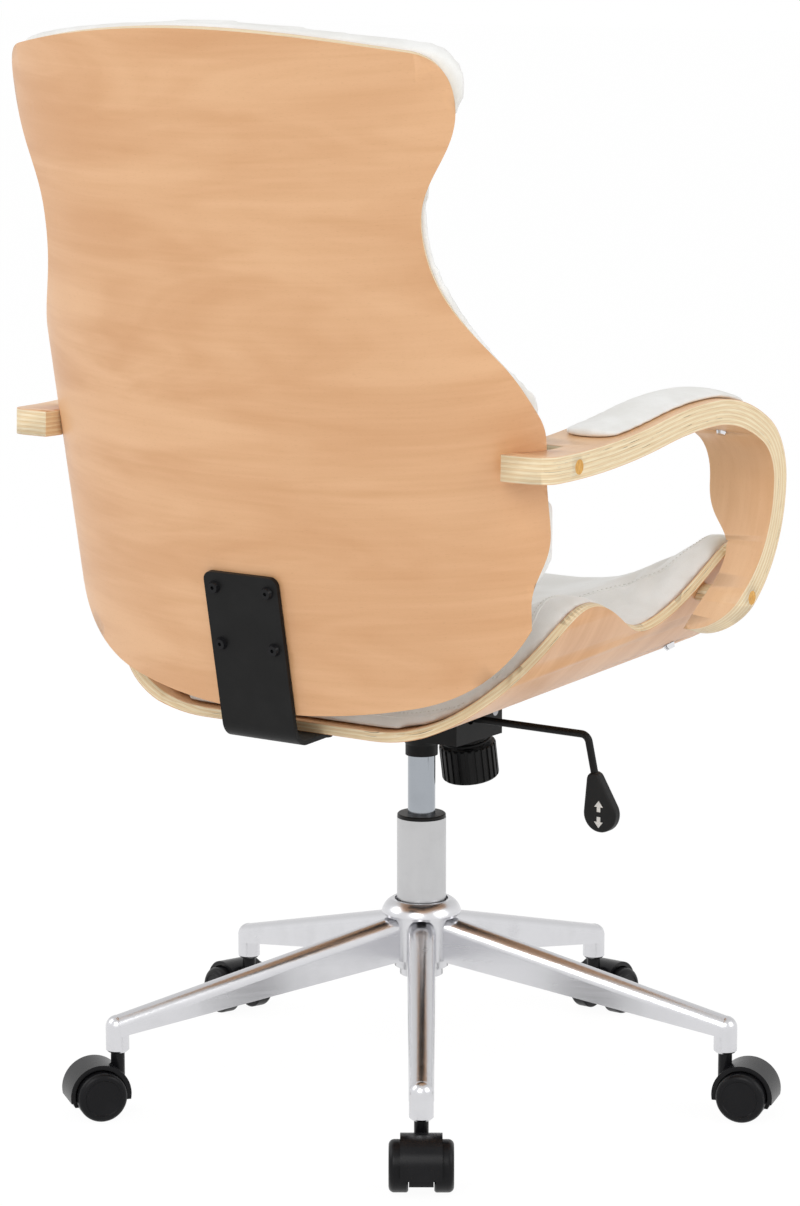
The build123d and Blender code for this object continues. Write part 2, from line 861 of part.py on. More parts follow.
with BuildPart() as tension_knob:
    with BuildSketch(tension_axis.offset(knob_top)):
        Circle(knob_diameter / 2)
    extrude(amount=-knob_height)
    fillet(tension_knob.edges().filter_by(GeomType.CIRCLE), knob_round)
    with BuildSketch(tension_axis.offset(knob_top)):
        with PolarLocations(knob_diameter / 2, knob_rib_count):
            Rectangle(2 * knob_rib_depth, knob_rib_width)
    extrude(amount=-knob_height, mode=Mode.SUBTRACT)
    with BuildSketch(tension_axis.offset(knob_top)):
        Circle(bolt_diameter / 2 + running)
    extrude(amount=-knob_bore_depth, mode=Mode.SUBTRACT)
save(tension_knob.part, "tension_knob")

# Lock slider in the pan, carrying the lever's pivot pin
with BuildPart() as lock_slider:
    with Locations((lever_pivot_x, 0, pan_floor + apart)):
        Box(
            slider_length,
            2 * slider_half_width,
            slider_height,
            align=(Align.CENTER, Align.CENTER, Align.MIN),
        )
    with Locations((lever_pivot_x, 0, lever_z - lever_eye_diameter)):
        Box(
            slider_length,
            slider_slot,
            slider_height,
            align=(Align.CENTER, Align.CENTER, Align.MIN),
            mode=Mode.SUBTRACT,
        )
    with BuildSketch(Plane.XZ):
        with Locations((lever_pivot_x, lever_z)):
            Circle(lever_pivot_diameter / 2 + seated)
    extrude(amount=slider_half_width, both=True, mode=Mode.SUBTRACT)
save(lock_slider.part, "lock_slider")

with BuildPart() as lever_pivot:
    with BuildSketch(Plane.XZ):
        with Locations((lever_pivot_x, lever_z)):
            Circle(lever_pivot_diameter / 2)
    extrude(amount=slider_half_width, both=True)
save(lever_pivot.part, "lever_pivot")

# Bent lever rod with an eye at its pivot
drop_heading = math.radians(lever_drop_lean)
drop_end = (
    lever_bend_x - lever_drop * math.sin(drop_heading),
    0,
    lever_z - lever_drop * math.cos(drop_heading),
)
with BuildPart() as lever_rod:
    with BuildLine() as lever_path:
        FilletPolyline(
            (lever_tip_x, 0, lever_z),
            (lever_bend_x, 0, lever_z),
            drop_end,
            radius=lever_bend_radius,
        )
    with BuildSketch(Plane(origin=lever_path.line @ 0, z_dir=lever_path.line % 0)):
        Circle(lever_rod_diameter / 2)
    sweep(path=lever_path.line)
    with BuildSketch(Plane.XZ):
        with Locations((lever_pivot_x, lever_z)):
            Circle(lever_eye_diameter / 2)
    extrude(amount=lever_eye_width / 2, both=True)
    with BuildSketch(Plane.XZ):
        with Locations((lever_pivot_x, lever_z)):
            Circle(lever_pivot_diameter / 2 + running)
    extrude(amount=lever_eye_width, both=True, mode=Mode.SUBTRACT)
save(lever_rod.part, "lever_rod")

# Teardrop paddle on the lever's end
paddle_heading = math.radians(paddle_lean)
paddle_top = (
    drop_end[0] + paddle_bore_depth * math.sin(drop_heading) / 2,
    drop_end[2] + paddle_bore_depth * math.cos(drop_heading) / 2,
)
paddle_low = (
    paddle_top[0] - paddle_length * math.sin(paddle_heading),
    paddle_top[1] - paddle_length * math.cos(paddle_heading),
)
with BuildPart() as lever_paddle:
    with BuildSketch(Plane.XZ):
        with Locations(paddle_top):
            Circle(paddle_top_radius)
        with Locations(paddle_low):
            Circle(paddle_bottom_radius)
        make_hull()
    extrude(amount=paddle_thickness / 2, both=True)
    fillet(lever_paddle.faces().filter_by(Axis.Y).edges(), paddle_round)
    with BuildSketch(Plane(origin=drop_end, z_dir=lever_path.line % 1)):
        Circle(lever_rod_diameter / 2 + seated)
    extrude(amount=-lever_drop, mode=Mode.SUBTRACT)
save(lever_paddle.part, "lever_paddle")


def seat_section(inset, top):
    """Outline, seen from the front, of the seat's tub moved inwards by a distance and cut at a height."""
    radius = seat_bend_radius + ply_thickness - inset
    turn = math.radians(seat_side_angle)
    bend_x = seat_flat_half + radius * math.sin(turn)
    bend_z = ply_bottom + inset + radius * (1 - math.cos(turn))
    top_x = bend_x + (top - bend_z) / math.tan(turn)
    half_turn = turn / 2
    middle = (
        seat_flat_half + radius * math.sin(half_turn),
        ply_bottom + inset + radius * (1 - math.cos(half_turn)),
    )
    with BuildSketch(Plane.XZ) as section:
        with BuildLine():
            Line((0, ply_bottom + inset), (seat_flat_half, ply_bottom + inset))
            ThreePointArc((seat_flat_half, ply_bottom + inset), middle, (bend_x, bend_z))
            Polyline((bend_x, bend_z), (top_x, top), (0, top))
            mirror(about=Plane.YZ)
        make_face()
    return section.sketch


def seat_edge(rise, inset):
    """Side view of the seat below its hump, dip and wing edge line."""
    with BuildSketch(side_view) as edge:
        with BuildLine():
            rear = (seat_rear - inset, ply_bottom)
            front = (seat_front + inset, ply_bottom)
            crest = Spline(
                (seat_rear - inset, ply_top + rise / 2),
                ((seat_rear + hump_y) / 2 + hump_lead - inset, (ply_top + hump_z) / 2 + rise),
                (hump_y, hump_z + rise),
                (dip_y, dip_z + rise),
                (wing_y, wing_z + rise),
                (seat_front + inset, (ply_top + wing_z) / 2),
                (seat_front + inset, ply_bottom + ply_thickness / 2),
                tangents=((-0.5, 1), (0, -1)),
            )
            Polyline(crest @ 1, front, rear, crest @ 0)
        make_face()
    return edge.sketch


def seat_bolt_plane(side):
    """Plane on the seat's underside bend, facing outwards, where a chrome bolt sits."""
    turn = math.radians(seat_bolt_turn)
    radius = seat_bend_radius + ply_thickness
    return Plane(
        origin=(
            side * (seat_flat_half + radius * math.sin(turn)),
            seat_bolt_y,
            ply_bottom + radius * (1 - math.cos(turn)),
        ),
        x_dir=(0, 1, 0),
        z_dir=(side * math.sin(turn), 0, -math.cos(turn)),
    )


# Bent ply seat shell
tub_top = wing_z + cushion_rise + ply_thickness
with BuildPart() as seat_shell:
    extrude(seat_section(0, tub_top), amount=2 * seat_rear, both=True)
    extrude(
        seat_section(ply_thickness, tub_top + ply_thickness),
        amount=2 * seat_rear,
        both=True,
        mode=Mode.SUBTRACT,
    )
    extrude(seat_edge(0, 0), amount=arm_outer, both=True, mode=Mode.INTERSECT)
    with BuildSketch(Plane.XY.offset(ply_bottom)):
        with Locations(seat_screw_spots):
            Circle(seat_screw_diameter / 2 + seated)
    extrude(amount=seat_screw_depth + seated, mode=Mode.SUBTRACT)
    for side in (-1, 1):
        with BuildSketch(Plane.YZ.offset(side * arm_outer)):
            with Locations(level_point(front_plug_y, front_plug_z)):
                Circle(arm_bolt_diameter / 2 + seated)
        extrude(amount=-side * arm_width, mode=Mode.SUBTRACT)
    for side in (-1, 1):
        with BuildSketch(seat_bolt_plane(side)):
            Circle(seat_bolt_diameter / 2 + seated)
        extrude(amount=ply_thickness, both=True, mode=Mode.SUBTRACT)
save(pitched(seat_shell.part), "seat_shell")

# Seat cushion with a crowned top that thins towards its sides
with BuildPart() as seat_cushion:
    extrude(seat_section(ply_thickness + cushion_gap, tub_top), amount=2 * seat_rear, both=True)
    with BuildSketch(Plane.XZ):
        with BuildLine():
            edge_x = seat_flat_half + seat_bend_radius - cushion_edge
            cushion_top = ply_top + cushion_depth
            flank_z = cushion_top + cushion_flank_rise
            flat_z = cushion_top + cushion_flat_rise
            hollow = Spline(
                (-edge_x, tub_top + ply_thickness),
                (-cushion_flank_half, flank_z),
                (-cushion_flat_half, flat_z),
                (0, cushion_top),
                (cushion_flat_half, flat_z),
                (cushion_flank_half, flank_z),
                (edge_x, tub_top + ply_thickness),
            )
            Line(hollow @ 1, hollow @ 0)
        make_face()
    extrude(amount=2 * seat_rear, both=True, mode=Mode.SUBTRACT)
    extrude(seat_edge(cushion_rise, cushion_inset), amount=arm_outer, both=True, mode=Mode.INTERSECT)
save(pitched(seat_cushion.part), "seat_cushion")

# Steel plate under the seat, with two ears on the tilt axle
ear_outer = pan_half_width - pan_wall - ear_gap
with BuildPart() as seat_plate:
    with BuildSketch(Plane.XY.offset(plate_bottom)):
        with Locations((0, (plate_front + plate_rear) / 2)):
            RectangleRounded(2 * plate_half_width, plate_rear - plate_front, plate_corner)
    extrude(amount=plate_thickness)
    for side in (-1, 1):
        with BuildSketch(Plane.YZ.offset(side * (ear_outer - ear_thickness / 2))):
            with Locations((tilt_axis_y, tilt_axis_z)):
                Circle(ear_radius)
            with Locations((tilt_axis_y, tilt_axis_z)):
                Rectangle(
                    2 * ear_radius,
                    plate_bottom - tilt_axis_z,
                    align=(Align.CENTER, Align.MIN),
                )
        extrude(amount=ear_thickness / 2, both=True)
    with BuildSketch(Plane.YZ.offset(-pan_half_width)):
        with Locations((tilt_axis_y, tilt_axis_z)):
            Circle(tilt_axle_diameter / 2 + running)
    extrude(amount=2 * pan_half_width, mode=Mode.SUBTRACT)
    with BuildSketch(Plane.XY.offset(plate_bottom)):
        with Locations(plate_screw_spots):
            Circle(seat_screw_diameter / 2 + seated)
    extrude(amount=plate_thickness, mode=Mode.SUBTRACT)
save(pitched(seat_plate.part), "seat_plate")

# Screws up into the seat, through the plate and through the bracket's flange
with BuildPart() as seat_screws:
    for spots, face in ((plate_screw_spots, plate_bottom), (flange_screw_spots, flange_bottom)):
        with BuildSketch(Plane.XY.offset(face)):
            with Locations(spots):
                Circle(seat_screw_head / 2)
        extrude(amount=-seat_screw_head_height)
        with BuildSketch(Plane.XY.offset(face)):
            with Locations(spots):
                Circle(seat_screw_diameter / 2)
        extrude(amount=ply_bottom + seat_screw_depth - face)
save(pitched(seat_screws.part), "seat_screws")


def back_outline(proud):
    """Front view of the back: wide head, narrow neck and wide lower bulge, grown by a margin."""
    corner = (top_corner_half + proud, top_length - top_corner_drop + proud)
    head = (head_half + proud, head_length)
    neck = (neck_half + proud, neck_length)
    bulge_top = (bulge_half + proud, bulge_top_length)
    bulge_low = (bulge_half + proud, bulge_bottom_length)
    lower = (lower_half, bottom_length + lower_rise - proud)
    with BuildSketch(back_front) as outline:
        with BuildLine():
            top = ThreePointArc((-corner[0], corner[1]), (0, top_length + proud), corner)
            Spline(corner, head, tangents=(top % 1, (0, -1)))
            Spline(head, neck, tangents=((0, -1), (0, -1)))
            Spline(neck, bulge_top, tangents=((0, -1), (0, -1)))
            Line(bulge_top, bulge_low)
            base = ThreePointArc(lower, (0, bottom_length - proud), (-lower[0], lower[1]))
            Spline(bulge_low, lower, tangents=((0, -1), base % 0))
            Spline((-lower[0], lower[1]), (-bulge_low[0], bulge_low[1]), tangents=(base % 1, (0, 1)))
            Line((-bulge_low[0], bulge_low[1]), (-bulge_top[0], bulge_top[1]))
            Spline((-bulge_top[0], bulge_top[1]), (-neck[0], neck[1]), tangents=((0, 1), (0, 1)))
            Spline((-neck[0], neck[1]), (-head[0], head[1]), tangents=((0, 1), (0, 1)))
            Spline((-head[0], head[1]), (-corner[0], corner[1]), tangents=((0, 1), top % 0))
        make_face()
    return outline.sketch


def back_bow(rear_inset, side_inset, front_side, front_depth, low, high):
    """Curved slab between two half ellipses, standing along the reclined back."""
    with BuildSketch(back_section.offset(low)) as bow:
        with Locations((0, -back_depth)):
            Ellipse(back_half_width - side_inset, back_depth - rear_inset)
            Ellipse(back_half_width - front_side, back_depth - front_depth, mode=Mode.SUBTRACT)
            Rectangle(
                4 * back_half_width,
                4 * back_depth,
                align=(Align.CENTER, Align.MAX),
                mode=Mode.SUBTRACT,
            )
    return extrude(bow.sketch, amount=high - low, mode=Mode.PRIVATE)


# Bent ply back shell
back_low = bottom_length - 4 * back_ply
back_high = top_length + 4 * back_ply
with BuildPart() as back_shell:
    add(back_bow(0, 0, back_ply, back_ply, back_low, back_high))
    extrude(back_outline(0), amount=2 * back_depth, both=True, mode=Mode.INTERSECT)
    for spot in bracket_screw_spots:
        with BuildSketch(back_front):
            with Locations(spot):
                Circle(seat_screw_diameter / 2 + seated)
        extrude(amount=back_ply, both=True, mode=Mode.SUBTRACT)
    with BuildSketch(Plane.YZ):
        with Locations((rear_plug_y, rear_plug_z)):
            Circle(arm_bolt_diameter / 2 + seated)
    extrude(amount=arm_outer, both=True, mode=Mode.SUBTRACT)
save(back_shell.part, "back_shell")

# Back cushion: thick at the middle, thin at its edge, proud of the shell's front rim
cushion_back = back_ply + cushion_gap
inner_half = back_half_width - cushion_back
inner_depth = back_depth - cushion_back


def cushion_front(height, half):
    """Section of the space behind the cushion's front face, at a height where the back has a half width."""
    reach = min(half, inner_half - cushion_gap)
    edge = -back_depth + inner_depth * math.sqrt(1 - (reach / inner_half) ** 2) - back_cushion_edge
    with BuildSketch(back_section.offset(height)) as section:
        with BuildLine():
            ThreePointArc((-half, edge), (0, -cushion_back - back_cushion_depth), (half, edge))
            Polyline((half, edge), (half, back_depth), (-half, back_depth), (-half, edge))
        make_face()
    return section.sketch


with BuildPart() as back_cushion:
    loft(
        [
            cushion_front(back_low, lower_half),
            cushion_front(bulge_bottom_length, bulge_half),
            cushion_front(bulge_top_length, bulge_half),
            cushion_front(neck_length, neck_half),
            cushion_front(head_length, head_half),
            cushion_front(back_high, head_half),
        ]
    )
    with BuildSketch(back_section.offset(back_low)):
        with Locations((0, -back_depth)):
            Ellipse(inner_half, inner_depth)
            Rectangle(
                2 * inner_half,
                back_depth,
                align=(Align.CENTER, Align.MAX),
            )
    extrude(amount=back_high - back_low, mode=Mode.INTERSECT)
    extrude(back_outline(back_cushion_proud), amount=2 * back_depth, both=True, mode=Mode.INTERSECT)
    with BuildSketch(side_view):
        Polygon(
            (back_y, back_z + bottom_length + back_ply),
            (back_y - 2 * back_depth, back_z + bottom_length + back_ply + 2 * back_depth * cushion_slope),
            (back_y - 2 * back_depth, back_z + 2 * bottom_length),
            (back_y, back_z + 2 * bottom_length),
            align=None,
        )
    extrude(amount=arm_outer, both=True, mode=Mode.SUBTRACT)
save(back_cushion.part, "back_cushion")

# L-shaped steel bracket from the back shell to the underside of the seat
lean_tan = lean_sin / lean_cos
pitch_tan = pitch_sin / pitch_cos
plate_top_y = back_y + (bracket_top - back_z) * lean_tan


def bracket_heel(depth):
    """Corner between the bracket's plate and flange, on a face at a depth behind the shell."""
    base_y, base_z = pitched_point(0, ply_bottom - depth)
    rear_y = back_y + depth / lean_cos
    height = (base_z - (rear_y - back_z * lean_tan - base_y) * pitch_tan) / (1 + lean_tan * pitch_tan)
    return rear_y + (height - back_z) * lean_tan, height


with BuildPart() as back_bracket:
    with BuildSketch(side_view):
        with BuildLine():
            rear_line = FilletPolyline(
                (plate_top_y + bracket_thickness * lean_cos, bracket_top - bracket_thickness * lean_sin),
                bracket_heel(bracket_thickness),
                pitched_point(flange_front, flange_bottom),
                radius=bracket_bend + bracket_thickness,
            )
            front_line = FilletPolyline(
                (plate_top_y, bracket_top),
                bracket_heel(0),
                pitched_point(flange_front, ply_bottom),
                radius=bracket_bend,
            )
            Line(rear_line @ 0, front_line @ 0)
            Line(rear_line @ 1, front_line @ 1)
        make_face()
    extrude(amount=bracket_width / 2, both=True)
    top_edges = back_bracket.edges().filter_by(Plane.YZ).group_by(SortBy.LENGTH)[0].sort_by(Axis.Z)
    fillet(top_edges[-2:], bracket_corner)
    for spot in bracket_screw_spots:
        with BuildSketch(back_front):
            with Locations(spot):
                Circle(seat_screw_diameter / 2 + seated)
        extrude(amount=-2 * bracket_thickness, mode=Mode.SUBTRACT)
    flange_plane = Plane(
        origin=(0, *pitched_point(0, flange_bottom)),
        x_dir=(1, 0, 0),
        z_dir=(0, pitch_sin, pitch_cos),
    )
    with BuildSketch(flange_plane):
        with Locations(flange_screw_spots):
            Circle(seat_screw_diameter / 2 + seated)
    extrude(amount=bracket_thickness, mode=Mode.SUBTRACT)
save(back_bracket.part, "back_bracket")

# Button-head screws through the bracket into the back shell
with BuildPart() as bracket_screws:
    for spot in bracket_screw_spots:
        with BuildSketch(back_front.offset(-bracket_thickness)):
            with Locations(spot):
                Circle(bracket_head_diameter / 2)
        extrude(amount=-bracket_head_height, taper=bracket_head_taper)
        with BuildSketch(back_front.offset(-bracket_thickness)):
            with Locations(spot):
                Circle(seat_screw_diameter / 2)
        extrude(amount=bracket_thickness + back_ply - apart)
        with BuildSketch(back_front.offset(-bracket_thickness - bracket_head_height)):
            with Locations(spot):
                RegularPolygon(bracket_socket / 2, 6)
        extrude(amount=bracket_head_height / 2, mode=Mode.SUBTRACT)
save(bracket_screws.part, "bracket_screws")


def arm_run(gap, foot_length):
    """One edge line of an arm, at a distance above its middle line. Gives its first and last points."""
    slope = math.radians(arm_rear_slope)
    heading = Vector(math.cos(slope), math.sin(slope))
    point = Vector(-arm_rear, arm_rear_height) + Vector(-math.sin(slope), math.cos(slope)) * gap
    first = point
    for radius, turn in arm_bends:
        arc = JernArc(point, heading, radius - gap * math.copysign(1, turn), turn)
        point = arc @ 1
        heading = arc % 1
    foot = Line(point, point + heading * foot_length)
    return first, foot @ 1


def arm_spot(bend, turned):
    """Point on an arm's middle line, and its slope, part of the way round one of the bends."""
    slope = arm_rear_slope
    forward, up = -arm_rear, arm_rear_height
    for index in range(bend + 1):
        radius, turn = arm_bends[index]
        swing = turn if index < bend else math.copysign(turned, turn)
        reach = math.copysign(radius, turn)
        start, slope = math.radians(slope), slope + swing
        stop = math.radians(slope)
        forward += reach * (math.sin(stop) - math.sin(start))
        up += reach * (math.cos(start) - math.cos(stop))
    return forward, up, slope


def pad_screw_plane(bend, turned):
    """Plane on the underside of the right arm, facing up into it, where a pad screw sits."""
    forward, up, slope = arm_spot(bend, turned)
    lean = math.radians(slope)
    below = arm_thickness / 2
    return Plane(
        origin=(pad_x, -forward - below * math.sin(lean), up - below * math.cos(lean)),
        x_dir=(1, 0, 0),
        z_dir=(0, math.sin(lean), math.cos(lean)),
    )


def mirrored_plane(plane):
    """The same plane on the other arm."""
    place = plane.origin
    return Plane(origin=(-place.X, place.Y, place.Z), x_dir=(1, 0, 0), z_dir=plane.z_dir)


pad_x = -(arm_inner + pad_inset + pad_width / 2)
pad_screw_planes = [pad_screw_plane(0, pad_screw_rear_turn), pad_screw_plane(2, pad_screw_front_turn)]

# Room that an arm leaves for the back's wrapped edge
with BuildPart() as back_room:
    with BuildSketch(back_section.offset(bulge_bottom_length)):
        with Locations((0, -back_depth)):
            Ellipse(back_half_width + apart, back_depth + apart)
            Rectangle(
                4 * back_half_width,
                4 * back_depth,
                align=(Align.CENTER, Align.MAX),
                mode=Mode.SUBTRACT,
            )
            Rectangle(2 * (back_half_width + apart), notch_front, align=(Align.CENTER, Align.MAX))
    extrude(amount=bulge_top_length)

# Room that an arm leaves for the seat's wing
with BuildPart() as tub_room:
    extrude(seat_section(-apart, tub_top), amount=2 * seat_rear, both=True)
    split(bisect_by=Plane.XY.offset(wing_z + cushion_rise + apart), keep=Keep.BOTTOM)

# Bentwood right arm: a wide bent strip, notched round the back's edge and the seat's wing
with BuildPart() as arm_right:
    with BuildSketch(arm_view):
        with BuildLine():
            upper_first, upper_last = arm_run(arm_thickness / 2, arm_foot)
            lower_first, lower_last = arm_run(-arm_thickness / 2, arm_foot + arm_foot_slant)
            Line(upper_first, lower_first)
            Line(upper_last, lower_last)
        make_face()
    extrude(amount=arm_width)
    foot_end = (upper_last + lower_last) / 2
    fillet(arm_right.edges().sort_by_distance((-arm_outer, -foot_end.X, foot_end.Y))[0], arm_foot_round)
    fillet(arm_right.edges().sort_by_distance((-arm_outer, arm_rear, arm_rear_height))[0], arm_rear_round)
    add(back_room.part, mode=Mode.SUBTRACT)
    with BuildSketch(Plane.XY.offset(arm_rear_height - 2 * arm_thickness)):
        with Locations((-tongue_inner, tongue_front)):
            Rectangle(arm_width, arm_rear, align=(Align.MIN, Align.MIN))
    extrude(amount=4 * arm_thickness, mode=Mode.SUBTRACT)
    with BuildSketch(Plane.XZ):
        with BuildLine():
            scribe = Spline(
                (-arm_inner, scribe_top),
                (-scribe_wing_x, scribe_wing_z),
                (-scribe_foot_x, scribe_foot_z),
                (-scribe_foot_x, ply_bottom),
                tangents=((0, -1), (0, -1)),
            )
            Polyline(scribe @ 1, (0, ply_bottom), (0, scribe_top), scribe @ 0)
        make_face()
    extrude(amount=2 * seat_rear, both=True, mode=Mode.SUBTRACT)
    with BuildSketch(Plane.YZ.offset(-scribe_foot_x - plug_depth)):
        with Locations((front_plug_y, front_plug_z)):
            Circle(arm_boss_diameter / 2)
    extrude(amount=plug_depth + arm_boss_reach)
    add(pitched(tub_room.part), mode=Mode.SUBTRACT)
    for spot in ((rear_plug_y, rear_plug_z), (front_plug_y, front_plug_z)):
        for diameter, depth in (
            (plug_diameter, plug_depth),
            (arm_bolt_head, plug_depth + arm_bolt_head_height),
            (arm_bolt_diameter, arm_width),
        ):
            with BuildSketch(Plane.YZ.offset(-arm_outer)):
                with Locations(spot):
                    Circle(diameter / 2 + seated)
            extrude(amount=depth, mode=Mode.SUBTRACT)
    for plane in pad_screw_planes:
        with BuildSketch(plane.offset(-apart)):
            Circle(pad_screw_diameter / 2 + seated)
        extrude(amount=pad_screw_depth + apart, mode=Mode.SUBTRACT)
save(arm_right.part, "arm_right")
save(arm_right.part.mirror(Plane.YZ), "arm_left")

# Wooden plugs over the arm bolts, and the bolts behind them
with BuildPart() as arm_plugs:
    for side in (-1, 1):
        with BuildSketch(Plane.YZ.offset(side * arm_outer)):
            with Locations((rear_plug_y, rear_plug_z), (front_plug_y, front_plug_z)):
                Circle(plug_diameter / 2)
        extrude(amount=-side * plug_depth)
save(arm_plugs.part, "arm_plugs")

with BuildPart() as arm_bolts:
    for side in (-1, 1):
        for spot, end in (
            ((rear_plug_y, rear_plug_z), rear_bolt_end),
            ((front_plug_y, front_plug_z), front_bolt_end),
        ):
            with BuildSketch(Plane.YZ.offset(side * (arm_outer - plug_depth))):
                with Locations(spot):
                    Circle(arm_bolt_head / 2)
            extrude(amount=-side * arm_bolt_head_height)
            with BuildSketch(Plane.YZ.offset(side * (arm_outer - plug_depth))):
                with Locations(spot):
                    Circle(arm_bolt_diameter / 2)
            extrude(amount=-side * (arm_outer - plug_depth - end))
save(arm_bolts.part, "arm_bolts")

# Padded strip along the top of the right arm
pad_gap = arm_thickness / 2 + cushion_gap
pad_forward, pad_up, pad_slope = arm_spot(0, pad_start_turn)
pad_middle = Plane(origin=(pad_x, 0, 0), x_dir=(0, -1, 0), z_dir=(-1, 0, 0))
with BuildLine() as pad_path:
    slope = math.radians(pad_slope)
    heading = Vector(math.cos(slope), math.sin(slope))
    point = Vector(pad_forward, pad_up) + Vector(-math.sin(slope), math.cos(slope)) * pad_gap
    for radius, turn in (
        (arm_bends[0][0] - pad_gap, arm_bends[0][1] - pad_start_turn),
        (arm_bends[1][0] + pad_gap, arm_bends[1][1]),
        (arm_bends[2][0] + pad_gap, -pad_end_turn),
    ):
        arc = JernArc(point, heading, radius, turn)
        point = arc @ 1
        heading = arc % 1
pad_line = pad_middle.from_local_coords(pad_path.line)
with BuildPart() as pad_right:
    with BuildSketch(Plane(origin=pad_line @ 0, x_dir=(1, 0, 0), z_dir=pad_line % 0)):
        with BuildLine():
            half = pad_width / 2
            tuck = pad_side / 2
            Polyline((-half, pad_side), (-half + tuck, 0), (half - tuck, 0), (half, pad_side))
            ThreePointArc((half, pad_side), (0, pad_thickness), (-half, pad_side))
        make_face()
    sweep(path=pad_line)
    pad_rear = (pad_line @ 0).Y
    pad_front = (pad_line @ 1).Y
    with BuildSketch(Plane.XY.offset(arm_rear_height - pad_width)):
        with Locations((pad_x, (pad_rear + pad_front) / 2)):
            RectangleRounded(pad_width, pad_rear - pad_front, pad_round)
    extrude(amount=2 * pad_width, mode=Mode.INTERSECT)
save(pad_right.part, "pad_right")
save(pad_right.part.mirror(Plane.YZ), "pad_left")

# Chrome screws under the arms that hold the pads
with BuildPart() as pad_screws:
    for plane in pad_screw_planes + [mirrored_plane(plane) for plane in pad_screw_planes]:
        with BuildSketch(plane.offset(-apart / 2)):
            Circle(pad_screw_head / 2)
        extrude(amount=-pad_screw_head_height, taper=bracket_head_taper)
        with BuildSketch(plane.offset(-apart / 2)):
            Circle(pad_screw_diameter / 2)
        extrude(amount=pad_screw_depth)
save(pad_screws.part, "pad_screws")

# Chrome bolts on the seat's underside beside the arm feet
with BuildPart() as seat_bolts:
    for side in (-1, 1):
        with BuildSketch(seat_bolt_plane(side).offset(apart)):
            Circle(seat_bolt_head / 2)
        extrude(amount=seat_bolt_head_height, taper=bracket_head_taper)
        with BuildSketch(seat_bolt_plane(side).offset(apart)):
            Circle(seat_bolt_diameter / 2)
        extrude(amount=-seat_bolt_length)
save(pitched(seat_bolts.part), "seat_bolts")
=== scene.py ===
import math

import bmesh
import bpy
import numpy as np
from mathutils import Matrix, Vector
from mathutils.bvhtree import BVHTree


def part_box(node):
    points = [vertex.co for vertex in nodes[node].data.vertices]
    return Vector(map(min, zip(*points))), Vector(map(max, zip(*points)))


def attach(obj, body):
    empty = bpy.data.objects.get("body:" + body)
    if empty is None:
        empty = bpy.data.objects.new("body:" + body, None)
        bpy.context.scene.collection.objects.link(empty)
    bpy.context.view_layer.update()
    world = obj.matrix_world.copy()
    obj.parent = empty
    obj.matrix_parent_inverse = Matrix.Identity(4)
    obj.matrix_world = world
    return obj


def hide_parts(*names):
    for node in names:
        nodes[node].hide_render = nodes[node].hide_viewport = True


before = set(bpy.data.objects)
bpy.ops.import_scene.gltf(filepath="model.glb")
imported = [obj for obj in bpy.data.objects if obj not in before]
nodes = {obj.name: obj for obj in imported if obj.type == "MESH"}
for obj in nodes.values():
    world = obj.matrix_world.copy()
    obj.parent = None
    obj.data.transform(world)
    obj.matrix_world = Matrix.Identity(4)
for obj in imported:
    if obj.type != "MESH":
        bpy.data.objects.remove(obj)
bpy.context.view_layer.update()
scene = bpy.context.scene

# Sizes shared with the CAD model, in metres. Turns are in radians, but ARM_REAR_SLOPE and the second
# value of each arm bend are in degrees
RECLINE = math.radians(11.0)
BACK_ORIGIN = np.array([0.0, 0.2856, 0.4985])
BACK_HALF = 0.285
BACK_DEPTH = 0.125
BACK_PLY = 0.011
INNER_HALF = BACK_HALF - BACK_PLY
INNER_DEPTH = BACK_DEPTH - BACK_PLY
SEAT_PITCH = math.radians(2.4)
TILT_AXLE = (-0.045, 0.391)
PLY_BOTTOM = 0.4245
PLY = 0.010
SEAT_FLAT = 0.100
SEAT_RADIUS = 0.1775
SEAT_SIDE = math.radians(80.0)
ARM_REAR = 0.264
ARM_REAR_HEIGHT = 0.6925
ARM_REAR_SLOPE = -2.0
ARM_BENDS = ((1.060, 11.5), (0.562, -9.3), (0.189, -31.4), (0.061, -59.8), (0.136, -54.0))
ARM_THICKNESS = 0.025

# Wood: thickness of one layer, and the angle in degrees past which an edge stays sharp
SHELL_LAYER = 0.0018
ARM_LAYER = 0.0023
SHELL_SHARP = 35
ARM_SHARP = 40

# Points closer than WELD are one, and nothing is divided by less than the others
WELD = 1e-6
SMALL = 1e-6
SMALLEST = 1e-9

# Back shell: how near a face counts as on it, as a share of the ply, and the long lines of its rim
FACE_SHARE = 0.07
RIM_SHARE = 0.02
RIM_ANGLE = math.radians(20)
RIM_LENGTH = 0.02
# Its bulge: heights of the added cuts, the turn past which the rim belongs to it, how far its edge is
# drawn in and over which heights, and the samples and smoothing of the new edge
BULGE_LOW = 0.03
BULGE_HIGH = 0.29
BULGE_STEP = 0.006
BULGE_TURN = 1.2
BULGE_BLEND_LOW = 0.035
BULGE_BLEND_HIGH = 0.13
BULGE_DRAW = 0.018
BULGE_COUNT = 240
BULGE_ROUNDS = 300
# Samples round the bend, for distance along the grain
RUN_COUNT = 721

# Seat shell: how near a face counts as on it, the turns over which its edge comes to be cut square,
# and the largest turn that the grain follows
SEAT_SNAP = 0.0007
SQUARE_FROM = 0.35
SQUARE_BLEND = 0.4
GIRTH_TURN = 1.6

